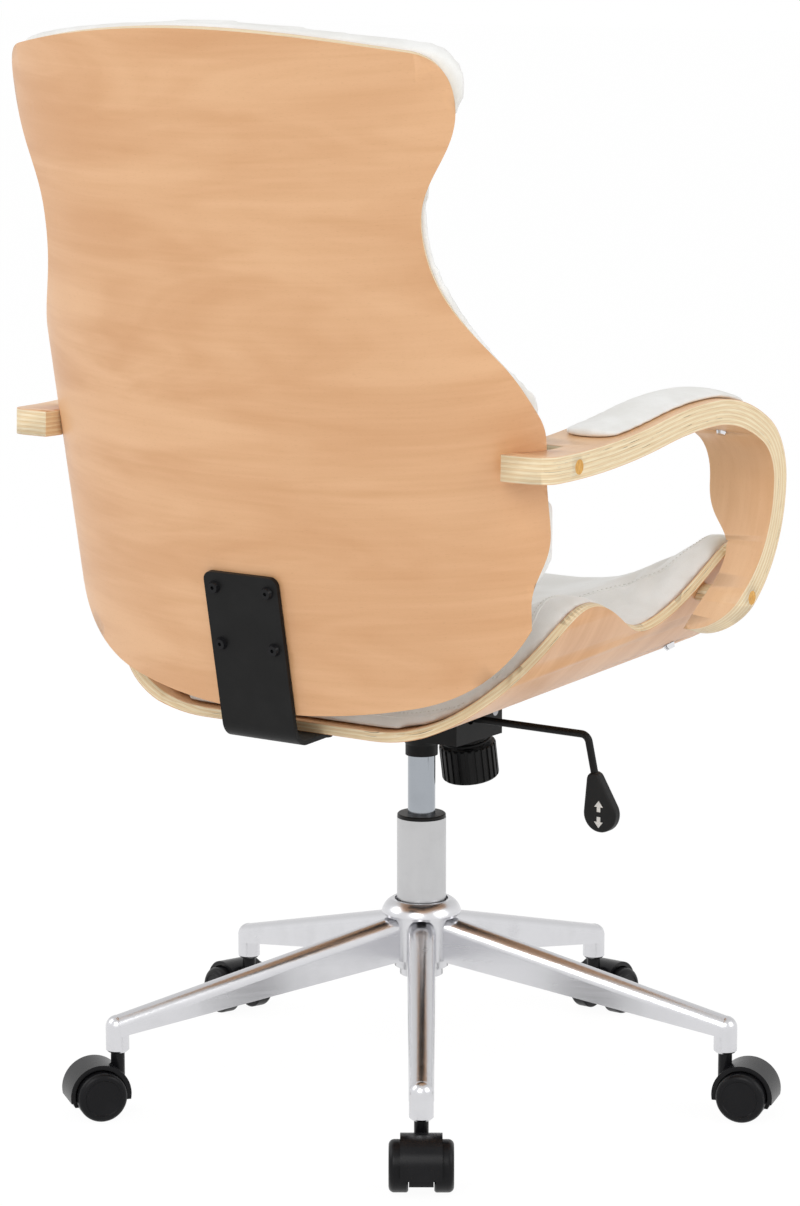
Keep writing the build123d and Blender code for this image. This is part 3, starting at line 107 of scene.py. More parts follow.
# Cushions and pads: size of the remesh, and the most that the simulation moves a point
SEAT_VOXEL, SEAT_CAP = 0.006, 0.008
BACK_VOXEL, BACK_CAP = 0.0045, 0.006
PAD_VOXEL, PAD_CAP = 0.0025, 0.003
RELAX_FACTOR = 0.5
RELAX_BEFORE = 8
RELAX_AFTER = 3
CLOTH_FRAMES = 20
CLOTH_PRESSURE = 4.0
CLOTH_QUALITY = 5
CLOTH_STIFFNESS = 20
# Where they rest on wood and are held: heights over it, and shares of the shell's inner ellipse
SEAT_HOLD = 0.006
SEAT_UPRIGHT = 0.8
BACK_HOLD_FROM = 0.84
BACK_HOLD_BLEND = 0.1
PAD_HOLD = 0.0025
# The back cushion's fuller edge at the bulge, and the height of the arms, which it leaves out
FULL_FROM = 0.20
FULL_BLEND = 0.05
FULL_ARM = 0.175
FULL_ARM_HALF = 0.025
FULL_EDGE = 0.014

# Stitches: spacing, the share of it that is thread, thickness, and one stitch's form along its length
STITCH_STEP = 0.0046
STITCH_SHARE = 0.68
STITCH_RADIUS = 0.00042
STITCH_PLACES = (0.0, 0.2, 0.5, 0.8, 1.0)
STITCH_LIFTS = (-1.0, 0.2, 0.5, 0.2, -1.0)
STITCH_WIDTHS = (0.5, 0.9, 1.0, 0.9, 0.5)
STITCH_SIDES = 6
SEAM_STEP = 0.004
SEAM_RADIUS = 0.0011
SEAM_SINK = 0.4
SEAM_SIDES = 8
# Lines along the cushions' edges: distance kept from their ends, steps, and the slice looked at for each
LINE_ROUNDS = 6
LINE_SIDE = 0.05
SEAT_LINE_FRONT = 0.02
SEAT_LINE_REAR = 0.03
SEAT_LINE_STEP = 0.006
SEAT_LINE_SLICE = 0.005
SEAT_LINE_DROP = -0.2
REAR_LINE_HALF = 0.19
REAR_LINE_COUNT = 80
REAR_LINE_SHARE = 0.5
BACK_LINE_LOW = 0.05
BACK_LINE_HIGH = 0.03
BACK_LINE_STEP = 0.008
BACK_LINE_SLICE = 0.006
BACK_LINE_FORWARD = 0.03


# Shader building blocks
class Shader:
    """A material with a Principled shader, and short ways to add and join nodes."""

    def __init__(self, name, rough=0.5, metal=0.0):
        self.material = bpy.data.materials.new(name)
        self.material.use_nodes = True
        self.tree = self.material.node_tree
        self.shader = self.tree.nodes["Principled BSDF"]
        self.shader.inputs["Roughness"].default_value = rough
        self.shader.inputs["Metallic"].default_value = metal

    def add(self, kind, settings=None, **inputs):
        node = self.tree.nodes.new("ShaderNode" + kind)
        for key, value in (settings or {}).items():
            setattr(node, key, value)
        for key, value in inputs.items():
            self.feed(node.inputs[key.replace("_", " ")], value)
        return node

    def feed(self, socket, value):
        if isinstance(value, bpy.types.NodeSocket):
            self.tree.links.new(value, socket)
        else:
            socket.default_value = value

    def math(self, operation, a, b=0.0):
        node = self.add("Math", {"operation": operation})
        self.feed(node.inputs[0], a)
        self.feed(node.inputs[1], b)
        return node.outputs[0]

    def times(self, a, b):
        return self.math("MULTIPLY", a, b)

    def plus(self, a, b):
        return self.math("ADD", a, b)

    def stretch(self, vector, scale):
        node = self.add("VectorMath", {"operation": "MULTIPLY"})
        self.feed(node.inputs[0], vector)
        node.inputs[1].default_value = scale
        return node.outputs[0]

    def noise(self, vector, scale, detail=4.0, rough=0.5, distortion=0.0):
        return self.add(
            "TexNoise", Vector=vector, Scale=scale, Detail=detail, Roughness=rough, Distortion=distortion
        ).outputs["Fac"]

    def ramp(self, value, low, high):
        node = self.add("MapRange", {"interpolation_type": "SMOOTHSTEP"})
        self.feed(node.inputs["Value"], value)
        node.inputs["From Min"].default_value = low
        node.inputs["From Max"].default_value = high
        return node.outputs["Result"]

    def mix(self, share, first, second):
        # Sockets 6 and 7 take the two colours, and output 2 gives the mixed one
        node = self.add("Mix", {"data_type": "RGBA"})
        self.feed(node.inputs[0], share)
        self.feed(node.inputs[6], first)
        self.feed(node.inputs[7], second)
        return node.outputs[2]

    def bump(self, height, strength, distance):
        node = self.add("Bump", Height=height, Strength=strength, Distance=distance)
        self.feed(self.shader.inputs["Normal"], node.outputs["Normal"])

    def colour(self, value):
        self.feed(self.shader.inputs["Base Color"], value)

    def rough(self, value):
        self.feed(self.shader.inputs["Roughness"], value)

    def place(self):
        return self.add("TexCoord").outputs["Object"]


def srgb(red, green, blue):
    """Linear colour from the 0 to 255 values that a screen shows."""
    linear = []
    for value in (red, green, blue):
        share = value / 255
        linear.append(share / 12.92 if share <= 0.04045 else ((share + 0.055) / 1.055) ** 2.4)
    return (*linear, 1.0)


def ply_material(name, thickness, face_light, face_dark, layer):
    """Lacquered veneer on the broad faces and stacked layers on the cut edges.

    The grain attribute holds distance along the grain, across it, and through the thickness.
    """
    s = Shader(name, rough=0.42)
    s.shader.inputs["Coat Weight"].default_value = 0.12
    s.shader.inputs["Coat Roughness"].default_value = 0.25
    grain = s.add("Attribute", {"attribute_name": "grain"}).outputs["Vector"]
    split = s.add("SeparateXYZ", Vector=grain)
    depth = split.outputs["Z"]
    # Broad faces: wide figure, soft bands and short pores
    figure = s.noise(s.stretch(grain, (3.0, 15.0, 0.0)), 1.0, detail=3.0, rough=0.55, distortion=1.3)
    bands = s.noise(s.stretch(grain, (5.0, 150.0, 0.0)), 1.0, detail=5.0, rough=0.6, distortion=0.5)
    pores = s.noise(s.stretch(grain, (190.0, 1900.0, 0.0)), 1.0, detail=2.0, rough=0.6)
    blotch = s.noise(s.stretch(grain, (9.0, 9.0, 0.0)), 1.0, detail=2.0)
    tone = s.plus(s.times(figure, 0.85), s.times(bands, 0.22))
    face = s.mix(s.ramp(tone, low=0.30, high=0.75), face_dark, face_light)
    face = s.mix(s.times(s.ramp(blotch, low=0.45, high=0.75), 0.18), face, srgb(232, 186, 142))
    pore_mask = s.times(s.ramp(pores, low=0.60, high=0.72), 0.22)
    face = s.mix(pore_mask, face, srgb(158, 103, 62))
    # Cut edges: layers with dark glue lines and small gaps
    uneven = s.math("SUBTRACT", s.noise(s.stretch(grain, (14.0, 14.0, 60.0)), 1.0), 0.5)
    wander = s.times(uneven, layer * 0.5)
    height = s.math("DIVIDE", s.plus(depth, wander), layer)
    step = s.math("FRACT", height)
    even = s.math("GREATER_THAN", s.math("FRACT", s.times(height, 0.5)), 0.5)
    streak = s.noise(s.stretch(grain, (40.0, 40.0, 2600.0)), 1.0, detail=3.0)
    pale = s.mix(s.ramp(streak, low=0.3, high=0.75), srgb(230, 208, 168), srgb(247, 234, 204))
    warm = s.mix(s.ramp(streak, low=0.3, high=0.75), srgb(221, 192, 148), srgb(241, 220, 180))
    edge = s.mix(even, pale, warm)
    line_noise = s.noise(s.stretch(grain, (30.0, 30.0, 300.0)), 1.0, detail=2.0)
    line = s.times(s.ramp(step, low=0.80, high=0.97), s.ramp(line_noise, low=0.42, high=0.62))
    edge = s.mix(s.times(line, 0.5), edge, srgb(172, 132, 88))
    # Small gaps between the layers: sunk by the bump, and their dark colour is painted shade inside them
    gap_noise = s.noise(s.stretch(grain, (26.0, 26.0, 900.0)), 1.0, detail=2.0, rough=0.5)
    gap = s.times(s.ramp(gap_noise, low=0.665, high=0.70), s.ramp(step, low=0.55, high=0.8))
    edge = s.mix(s.times(gap, 0.85), edge, srgb(70, 48, 32))
    inside = s.math("MINIMUM", depth, s.math("SUBTRACT", thickness, depth))
    on_edge = s.ramp(inside, low=0.00045, high=0.0007)
    s.colour(s.mix(on_edge, face, edge))
    edge_rough = s.times(on_edge, 0.16)
    s.rough(s.plus(edge_rough, s.plus(s.times(pores, 0.12), 0.34)))
    relief = s.math("SUBTRACT", s.times(bands, 0.3), s.plus(pore_mask, gap))
    s.bump(relief, strength=0.25, distance=0.0004)
    return s.material


def plastic_material(name, colour, rough, grain_size, strength):
    """Moulded plastic with a fine texture and faint smudges."""
    s = Shader(name, rough=rough)
    s.shader.inputs["Specular IOR Level"].default_value = 0.16
    place = s.place()
    smudge = s.noise(place, 35.0, detail=4.0)
    fine = s.noise(place, grain_size, detail=3.0, rough=0.6)
    paler = tuple(min(1.0, value * 1.5 + 0.002) for value in colour[:3]) + (1.0,)
    s.colour(s.mix(s.times(s.ramp(smudge, low=0.4, high=0.75), 0.5), colour, paler))
    s.rough(s.plus(s.times(smudge, 0.16), rough - 0.07))
    s.bump(fine, strength=strength, distance=0.0002)
    return s.material


def metal_material(name, colour, rough, along, strength=0.02, top_shade=1.0):
    """Polished or brushed metal with fine lines along one direction and faint handling marks.

    top_shade darkens the faces that look up: a painted shade that stands in for darker reflections from
    above.
    """
    s = Shader(name, rough=rough, metal=1.0)
    place = s.place()
    lines = s.noise(s.stretch(place, along), 1.0, detail=3.0, rough=0.6)
    marks = s.noise(place, 28.0, detail=5.0, rough=0.6)
    darker = tuple(value * 0.88 for value in colour[:3]) + (1.0,)
    tone = s.mix(s.times(s.ramp(marks, low=0.45, high=0.8), 0.6), colour, darker)
    # Painted shade: faces that look up get a darker colour
    if top_shade < 1.0:
        facing = s.add("SeparateXYZ", Vector=s.add("TexCoord").outputs["Normal"]).outputs["Z"]
        shaded = tuple(value * top_shade for value in colour[:3]) + (1.0,)
        tone = s.mix(s.ramp(facing, low=0.35, high=0.85), tone, shaded)
    s.colour(tone)
    s.rough(s.plus(s.times(lines, 0.10), s.plus(s.times(marks, 0.06), rough - 0.07)))
    s.bump(lines, strength=strength, distance=0.0002)
    return s.material


def leather_material(name):
    """White coated upholstery with a pebbled grain, soft creases and a slight sheen."""
    s = Shader(name, rough=0.48)
    s.shader.inputs["Coat Weight"].default_value = 0.06
    s.shader.inputs["Coat Roughness"].default_value = 0.4
    s.shader.inputs["Sheen Weight"].default_value = 0.05
    place = s.place()
    cells = s.add("TexVoronoi", {"feature": "DISTANCE_TO_EDGE"}, Vector=place, Scale=620.0)
    pebble = cells.outputs["Distance"]
    wide = s.noise(place, 16.0, detail=4.0, rough=0.55)
    crease = s.noise(place, 75.0, detail=5.0, rough=0.6, distortion=0.6)
    shade = s.mix(s.ramp(wide, low=0.35, high=0.7), srgb(231, 230, 226), srgb(243, 243, 241))
    # The pits between the pebbles are coloured a little darker: painted shade in them
    pits = s.math("SUBTRACT", 1.0, s.ramp(pebble, low=0.0, high=0.12))
    s.colour(s.mix(s.times(pits, 0.12), shade, srgb(203, 201, 196)))
    s.rough(s.plus(s.times(crease, 0.14), 0.42))
    s.bump(s.plus(s.ramp(pebble, low=0.0, high=0.2), s.times(crease, 0.8)), strength=0.16, distance=0.0006)
    return s.material


def thread_material(name):
    """Twisted sewing thread."""
    s = Shader(name, rough=0.7)
    wave = s.add("TexWave", {"bands_direction": "DIAGONAL"}, Vector=s.place(), Scale=420.0, Distortion=1.5)
    twist = wave.outputs["Fac"]
    # Light and dark bands along the twist: the darker ones are painted shade in its grooves
    s.colour(s.mix(twist, srgb(196, 194, 188), srgb(236, 235, 230)))
    s.bump(twist, strength=0.4, distance=0.0003)
    return s.material


def plug_material(name):
    """Small turned wooden plug, end grain, deeper orange than the arms."""
    s = Shader(name, rough=0.4)
    place = s.place()
    rings = s.noise(s.stretch(place, (60.0, 700.0, 160.0)), 1.0, detail=4.0)
    specks = s.noise(place, 900.0, detail=2.0)
    tone = s.mix(s.ramp(rings, low=0.35, high=0.7), srgb(206, 146, 56), srgb(232, 180, 88))
    s.colour(s.mix(s.times(s.ramp(specks, low=0.55, high=0.7), 0.5), tone, srgb(160, 100, 36)))
    s.bump(rings, strength=0.2, distance=0.0003)
    return s.material


veneer_light = srgb(228, 180, 135)
veneer_dark = srgb(211, 158, 111)
shell_wood = ply_material("shell_wood", BACK_PLY, veneer_light, veneer_dark, SHELL_LAYER)
seat_wood = ply_material("seat_wood", PLY, veneer_light, veneer_dark, SHELL_LAYER)
arm_wood = ply_material("arm_wood", ARM_THICKNESS, srgb(236, 196, 154), srgb(218, 172, 128), ARM_LAYER)
plug_wood = plug_material("plug_wood")
white_leather = leather_material("white_leather")
thread = thread_material("thread")
hood_plastic = plastic_material("hood_plastic", (0.006, 0.006, 0.007, 1.0), 0.26, 900.0, 0.05)
wheel_plastic = plastic_material("wheel_plastic", (0.005, 0.005, 0.006, 1.0), 0.34, 1400.0, 0.12)
knob_plastic = plastic_material("knob_plastic", (0.010, 0.010, 0.010, 1.0), 0.40, 1200.0, 0.15)
black_steel = plastic_material("black_steel", (0.007, 0.007, 0.007, 1.0), 0.44, 1600.0, 0.22)
black_screw = plastic_material("black_screw", (0.008, 0.008, 0.009, 1.0), 0.22, 700.0, 0.04)
white_mark = plastic_material("white_mark", (0.62, 0.62, 0.60, 1.0), 0.55, 1500.0, 0.10)
polished = metal_material("polished", srgb(216, 216, 219), 0.24, (8.0, 8.0, 260.0), top_shade=0.8)
satin_tube = metal_material("satin_tube", srgb(198, 198, 199), 0.34, (30.0, 30.0, 900.0), 0.05)
bright = metal_material("bright", srgb(164, 169, 175), 0.12, (30.0, 30.0, 700.0))
chrome = metal_material("chrome", srgb(228, 228, 230), 0.10, (200.0, 200.0, 200.0))
plain_steel = metal_material("plain_steel", srgb(170, 170, 172), 0.30, (120.0, 120.0, 500.0), 0.05)


def dress(name, material):
    """Give a CAD node that stays shown its material."""
    slots = nodes[name].data.materials
    slots.clear()
    slots.append(material)


def cad_material(name):
    """Material of a CAD node by its name."""
    if name == "hub" or (name.startswith("leg_") and name != "leg_screws"):
        return polished
    if name.startswith("caster_wheel"):
        return wheel_plastic
    if name.startswith("caster_hood"):
        return hood_plastic
    if name in ("leg_screws", "arm_bolts", "pad_screws", "seat_bolts"):
        return chrome
    if name in ("tension_knob", "guide_ring", "lock_slider", "lever_paddle"):
        return knob_plastic
    if name in ("bracket_screws", "seat_screws"):
        return black_screw
    if name in ("tilt_housing", "seat_plate", "back_bracket", "lever_rod", "tension_bolt", "tension_spring"):
        return black_steel
    if name == "lift_tube":
        return satin_tube
    if name == "gas_cylinder":
        return bright
    if name == "arm_plugs":
        return plug_wood
    if name in ("pad_right", "pad_left", "seat_cushion", "back_cushion"):
        return white_leather
    return plain_steel


for node_name in nodes:
    dress(node_name, cad_material(node_name))


# Copies of the wooden nodes that carry a grain direction
def wood_copy(node, name, cuts=()):
    """Copy of a CAD node with its points welded and its faces cut by planes, as a new object."""
    mesh = bpy.data.meshes.new(name)
    build = bmesh.new()
    build.from_mesh(nodes[node].data)
    bmesh.ops.remove_doubles(build, verts=build.verts, dist=WELD)
    for place, facing in cuts:
        parts = build.verts[:] + build.edges[:] + build.faces[:]
        bmesh.ops.bisect_plane(build, geom=parts, plane_co=place, plane_no=facing)
    build.to_mesh(mesh)
    build.free()
    thing = bpy.data.objects.new(name, mesh)
    scene.collection.objects.link(thing)
    return thing


def points_of(thing):
    """Vertex positions as an array."""
    flat = np.zeros(len(thing.data.vertices) * 3)
    thing.data.vertices.foreach_get("co", flat)
    return flat.reshape(-1, 3)


def set_points(thing, points):
    """Move the vertices to the rows of an array."""
    thing.data.vertices.foreach_set("co", np.ascontiguousarray(points).ravel())
    thing.data.update()


def set_grain(thing, grain):
    """Store the grain coordinates on the vertices."""
    layer = thing.data.attributes.new("grain", "FLOAT_VECTOR", "POINT")
    layer.data.foreach_set("vector", np.ascontiguousarray(grain).ravel())


def smooth(thing, angle):
    """Smooth shading that keeps edges sharper than an angle."""
    thing.data.shade_smooth()
    thing.data.set_sharp_from_angle(angle=math.radians(angle))


def back_local(points):
    """Positions across the back, backwards, and along its slope."""
    moved = points - BACK_ORIGIN
    back = moved[:, 1] * math.cos(RECLINE) - moved[:, 2] * math.sin(RECLINE)
    along = moved[:, 1] * math.sin(RECLINE) + moved[:, 2] * math.cos(RECLINE)
    return moved[:, 0], back, along


def back_world(across, back, along):
    """Positions in the shared frame from those on the back."""
    y = back * math.cos(RECLINE) + along * math.sin(RECLINE)
    z = -back * math.sin(RECLINE) + along * math.cos(RECLINE)
    return np.stack([across, y, z], 1) + BACK_ORIGIN


def seat_level(points):
    """Seat positions before the seat's pitch."""
    y = points[:, 1] - TILT_AXLE[0]
    z = points[:, 2] - TILT_AXLE[1]
    level = points.copy()
    level[:, 1] = TILT_AXLE[0] + y * math.cos(SEAT_PITCH) - z * math.sin(SEAT_PITCH)
    level[:, 2] = TILT_AXLE[1] + y * math.sin(SEAT_PITCH) + z * math.cos(SEAT_PITCH)
    return level


def seat_world(level):
    """Seat positions with the seat's pitch."""
    y = level[:, 1] - TILT_AXLE[0]
    z = level[:, 2] - TILT_AXLE[1]
    points = level.copy()
    points[:, 1] = TILT_AXLE[0] + y * math.cos(SEAT_PITCH) + z * math.sin(SEAT_PITCH)
    points[:, 2] = TILT_AXLE[1] - y * math.sin(SEAT_PITCH) + z * math.cos(SEAT_PITCH)
    return points


def ellipse_share(across, back, half, depth):
    """1 on a half ellipse of the back, less inside it."""
    return np.sqrt((across / half) ** 2 + ((back + BACK_DEPTH) / depth) ** 2)


def outer_rim(thing, share, along):
    """Vertex numbers of the long sharp lines on the outer face of a bent sheet, not those of its holes."""
    build = bmesh.new()
    build.from_mesh(thing.data)
    links = {}
    for edge in build.edges:
        first, second = edge.verts[0].index, edge.verts[1].index
        on_face = share[first] < RIM_SHARE and share[second] < RIM_SHARE
        if on_face and len(edge.link_faces) == 2 and edge.calc_face_angle() > RIM_ANGLE:
            links.setdefault(first, []).append(second)
            links.setdefault(second, []).append(first)
    build.free()
    rim, seen = [], set()
    for start in links:
        if start in seen:
            continue
        line, queue = [], [start]
        seen.add(start)
        while queue:
            number = queue.pop()
            line.append(number)
            fresh = [other for other in links[number] if other not in seen]
            seen.update(fresh)
            queue.extend(fresh)
        if np.ptp(along[line]) > RIM_LENGTH:
            rim += line
    return np.array(rim)


# Back shell
up_back = np.array([0.0, math.sin(RECLINE), math.cos(RECLINE)])
cut_levels = np.arange(BULGE_LOW, BULGE_HIGH, BULGE_STEP)
bulge_cuts = [(BACK_ORIGIN + level * up_back, up_back) for level in cut_levels]
back_wood = wood_copy("back_shell", "back_shell_wood", bulge_cuts)
across, back, along = back_local(points_of(back_wood))
outer = ellipse_share(across, back, BACK_HALF, BACK_DEPTH)
inner = ellipse_share(across, back, INNER_HALF, INNER_DEPTH)
share = (1 - outer) / np.maximum((1 - outer) + (inner - 1), SMALL)
for level, half, depth in ((0.0, BACK_HALF, BACK_DEPTH), (1.0, INNER_HALF, INNER_DEPTH)):
    near = np.abs(share - level) < FACE_SHARE
    scale = 1 / ellipse_share(across, back, half, depth)
    across = np.where(near, across * scale, across)
    back = np.where(near, (back + BACK_DEPTH) * scale - BACK_DEPTH, back)
    share = np.where(near, level, share)
turn = np.arctan2(
    across / (BACK_HALF - share * BACK_PLY), (back + BACK_DEPTH) / (BACK_DEPTH - share * BACK_PLY)
)
rim = outer_rim(back_wood, share, along)
rim = rim[across[rim] < 0]
rim = rim[np.argsort(along[rim])]
wide = along[rim][np.abs(turn[rim]) > BULGE_TURN]
bulge_low, bulge_high = wide.min(), wide.max()
# The ply is cut square to its surface, so its inner edge is drawn in along the bend
slope_side = across / BACK_HALF**2
slope_back = np.sqrt(np.maximum(1 - (across / BACK_HALF) ** 2, 0)) / BACK_DEPTH
lean_out = slope_side / np.hypot(slope_side, slope_back)
across = across - share * BACK_PLY * lean_out
outer_back = BACK_DEPTH * (np.sqrt(np.maximum(1 - (across / BACK_HALF) ** 2, 0)) - 1)
inner_back = INNER_DEPTH * np.sqrt(np.maximum(1 - (across / INNER_HALF) ** 2, 0)) - BACK_DEPTH
back = np.where(np.abs(across) < INNER_HALF, outer_back + share * (inner_back - outer_back), back)
# At the bulge the sides turn forwards and end a little short, so that the cushion shows beyond them
in_bulge = (along > bulge_low) & (along < bulge_high)
heights = np.linspace(bulge_low, bulge_high, BULGE_COUNT)
depth_in = np.minimum((heights - bulge_low) / BULGE_BLEND_LOW, (bulge_high - heights) / BULGE_BLEND_HIGH)
depth_in = np.clip(depth_in, 0, 1)
draw = BULGE_DRAW / BACK_DEPTH * depth_in * depth_in * (3 - 2 * depth_in)
side_line = np.interp(heights, along[rim], np.abs(turn[rim])) - draw
for _ in range(BULGE_ROUNDS):
    side_line[1:-1] = (side_line[:-2] + 2 * side_line[1:-1] + side_line[2:]) / 4
edge_turn = np.interp(along, heights, side_line)
held_turn = np.sign(turn) * np.minimum(np.abs(turn), edge_turn)
out_side = np.sin(held_turn) / BACK_HALF
out_back = np.cos(held_turn) / BACK_DEPTH
inwards = share * BACK_PLY / np.hypot(out_side, out_back)
across = np.where(in_bulge, BACK_HALF * np.sin(held_turn) - inwards * out_side, across)
back = np.where(in_bulge, BACK_DEPTH * (np.cos(held_turn) - 1) - inwards * out_back, back)
set_points(back_wood, back_world(across, back, along))
turn_steps = np.linspace(-math.pi / 2, math.pi / 2, RUN_COUNT)
run_steps = np.hypot(
    np.diff(BACK_HALF * np.sin(turn_steps)), np.diff(BACK_DEPTH * np.cos(turn_steps))
)
run_table = np.concatenate([[0.0], np.cumsum(run_steps)])
turn = np.arctan2(across / BACK_HALF, (back + BACK_DEPTH) / BACK_DEPTH)
set_grain(back_wood, np.stack([np.interp(turn, turn_steps, run_table), along, share * BACK_PLY], 1))
smooth(back_wood, SHELL_SHARP)
back_wood.data.materials.append(shell_wood)
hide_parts("back_shell")
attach(back_wood, "seat")

# Seat shell
seat_ply = wood_copy("seat_shell", "seat_shell_wood")
level_points = seat_level(points_of(seat_ply))
x = level_points[:, 0]
side = np.abs(x)
centre_z = PLY_BOTTOM + SEAT_RADIUS
beyond, below = side - SEAT_FLAT, centre_z - level_points[:, 2]
reach = np.hypot(beyond, below)
angle = np.arctan2(beyond, below)
flat = side <= SEAT_FLAT
upright = (~flat) & (angle > SEAT_SIDE)
normal_reach = beyond * math.sin(SEAT_SIDE) + below * math.cos(SEAT_SIDE)
bend_depth = SEAT_RADIUS - np.where(upright, normal_reach, reach)
ply_depth = np.where(flat, level_points[:, 2] - PLY_BOTTOM, bend_depth)
bent = (~flat) & (~upright)
for level in (0.0, PLY):
    near = bent & (np.abs(ply_depth - level) < SEAT_SNAP)
    factor = np.where(near, (SEAT_RADIUS - level) / np.maximum(reach, SMALL), 1.0)
    snapped_side = np.sign(x) * (SEAT_FLAT + beyond * factor)
    snapped_z = centre_z + (level_points[:, 2] - centre_z) * factor
    level_points[:, 0] = np.where(near, snapped_side, level_points[:, 0])
    level_points[:, 2] = np.where(near, snapped_z, level_points[:, 2])
    ply_depth = np.where(near, level, ply_depth)
# The ply is cut square to its surface, so its inner edge stands higher than its outer one
rise = level_points[:, 2] - PLY_BOTTOM
square_turn = np.arccos(np.clip((SEAT_RADIUS - rise) / SEAT_RADIUS, -1, 1))
own_turn = np.arctan2(np.abs(level_points[:, 0]) - SEAT_FLAT, centre_z - level_points[:, 2])
share = np.clip((own_turn - SQUARE_FROM) / SQUARE_BLEND, 0, 1)
new_turn = own_turn + share * share * (3 - 2 * share) * (square_turn - own_turn)
moved = bent & (new_turn < SEAT_SIDE) & (own_turn > SQUARE_FROM)
new_reach = SEAT_RADIUS - ply_depth
new_side = np.sign(x) * (SEAT_FLAT + new_reach * np.sin(new_turn))
level_points[:, 0] = np.where(moved, new_side, level_points[:, 0])
level_points[:, 2] = np.where(moved, centre_z - new_reach * np.cos(new_turn), level_points[:, 2])
set_points(seat_ply, seat_world(level_points))
girth = np.sign(x) * np.where(flat, side, SEAT_FLAT + SEAT_RADIUS * np.minimum(angle, GIRTH_TURN))
set_grain(seat_ply, np.stack([girth, level_points[:, 1], ply_depth], 1))
smooth(seat_ply, SHELL_SHARP)
seat_ply.data.materials.append(seat_wood)
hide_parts("seat_shell")
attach(seat_ply, "seat")


# Arms
def arm_centres():
    """Centre, radius, turning sense and start and end headings of each bend, with the run before it."""
    heading = math.radians(ARM_REAR_SLOPE)
    forward, up, run = -ARM_REAR, ARM_REAR_HEIGHT, 0.0
    bends = []
    for radius, turn in ARM_BENDS:
        sense = math.copysign(1.0, turn)
        centre = (forward - sense * radius * math.sin(heading), up + sense * radius * math.cos(heading))
        end = heading + math.radians(turn)
        bends.append((centre, radius, sense, heading, end, run))
        forward = centre[0] + sense * radius * math.sin(end)
        up = centre[1] - sense * radius * math.cos(end)
        run += radius * abs(math.radians(turn))
        heading = end
    return bends, (forward, up, heading, run)


def arm_grain(points):
    """Distance along an arm, across it, and through its thickness from the lower face."""
    bends, (end_forward, end_up, end_heading, end_run) = arm_centres()
    forward, up = -points[:, 1], points[:, 2]
    best = np.full(len(points), np.inf)
    run = np.zeros(len(points))
    gap = np.zeros(len(points))
    for centre, radius, sense, start, end, before in bends:
        dx, dz = forward - centre[0], up - centre[1]
        heading = np.arctan2(sense * dx, -sense * dz)
        middle = (start + end) / 2
        heading = middle + (heading - middle + math.pi) % (2 * math.pi) - math.pi
        inside = np.clip(heading, min(start, end), max(start, end))
        foot_x = centre[0] + sense * radius * np.sin(inside)
        foot_z = centre[1] - sense * radius * np.cos(inside)
        miss = np.hypot(forward - foot_x, up - foot_z)
        closer = miss < best
        best = np.where(closer, miss, best)
        run = np.where(closer, before + radius * np.abs(inside - start), run)
        gap = np.where(closer, sense * (radius - np.hypot(dx, dz)), gap)
    ahead = (forward - end_forward) * math.cos(end_heading) + (up - end_up) * math.sin(end_heading)
    above = -(forward - end_forward) * math.sin(end_heading) + (up - end_up) * math.cos(end_heading)
    on_foot = (ahead > 0) & (np.abs(above) < ARM_THICKNESS)
    run = np.where(on_foot, end_run + ahead, run)
    gap = np.where(on_foot, above, gap)
    return np.stack([run, points[:, 0], gap + ARM_THICKNESS / 2], 1)


for side_name in ("right", "left"):
    arm = wood_copy(f"arm_{side_name}", f"arm_{side_name}_wood")
    set_grain(arm, arm_grain(points_of(arm)))
    smooth(arm, ARM_SHARP)
    arm.data.materials.append(arm_wood)
    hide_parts(f"arm_{side_name}")
    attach(arm, "seat")


# Cushions and pads
def select_only(thing):
    """Make one object the active one."""
    bpy.ops.object.select_all(action="DESELECT")
    thing.select_set(True)
    bpy.context.view_layer.objects.active = thing


def relax(thing, rounds):
    """Even out the surface of the active object."""
    even = thing.modifiers.new("relax", "SMOOTH")
    even.factor = RELAX_FACTOR
    even.iterations = rounds
    bpy.ops.object.modifier_apply(modifier=even.name)


def padded_copy(node, name, voxel, held, cap):
    """Upholstered copy of a soft node: remeshed, swollen by a cloth simulation and smoothed.

    held tells how firmly each point is kept in place, from 0 to 1 where it rests on something.
    """
    thing = bpy.data.objects.new(name, nodes[node].data.copy())
    scene.collection.objects.link(thing)
    select_only(thing)
    remesh = thing.modifiers.new("remesh", "REMESH")
    remesh.mode = "VOXEL"
    remesh.voxel_size = voxel
    bpy.ops.object.modifier_apply(modifier=remesh.name)
    relax(thing, RELAX_BEFORE)
    start = points_of(thing)
    hold = held(start)[:, None] * 1.0
    group = thing.vertex_groups.new(name="resting")
    group.add([int(i) for i in np.nonzero(hold[:, 0] == 1.0)[0]], 1.0, "REPLACE")
    cloth = thing.modifiers.new("cloth", "CLOTH")
    cloth.settings.use_pressure = True
    cloth.settings.uniform_pressure_force = CLOTH_PRESSURE
    cloth.settings.vertex_group_mass = "resting"
    cloth.settings.effector_weights.gravity = 0.0
    cloth.settings.quality = CLOTH_QUALITY
    cloth.settings.tension_stiffness = CLOTH_STIFFNESS
    cloth.settings.compression_stiffness = CLOTH_STIFFNESS
    cloth.collision_settings.use_collision = False
    for number in range(1, CLOTH_FRAMES + 1):
        scene.frame_set(number)
    bpy.ops.object.modifier_apply(modifier=cloth.name)
    scene.frame_set(1)
    moved = points_of(thing)
    shift = moved - start
    length = np.linalg.norm(shift, axis=1, keepdims=True)
    shift *= np.minimum(1.0, cap / np.maximum(length, SMALLEST))
    set_points(thing, start + shift * (1 - hold))
    thing.vertex_groups.clear()
    relax(thing, RELAX_AFTER)
    refine = thing.modifiers.new("refine", "SUBSURF")
    refine.levels = 1
    refine.render_levels = 1
    thing.data.shade_smooth()
    thing.data.materials.clear()
    thing.data.materials.append(white_leather)
    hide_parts(node)
    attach(thing, "seat")
    return thing


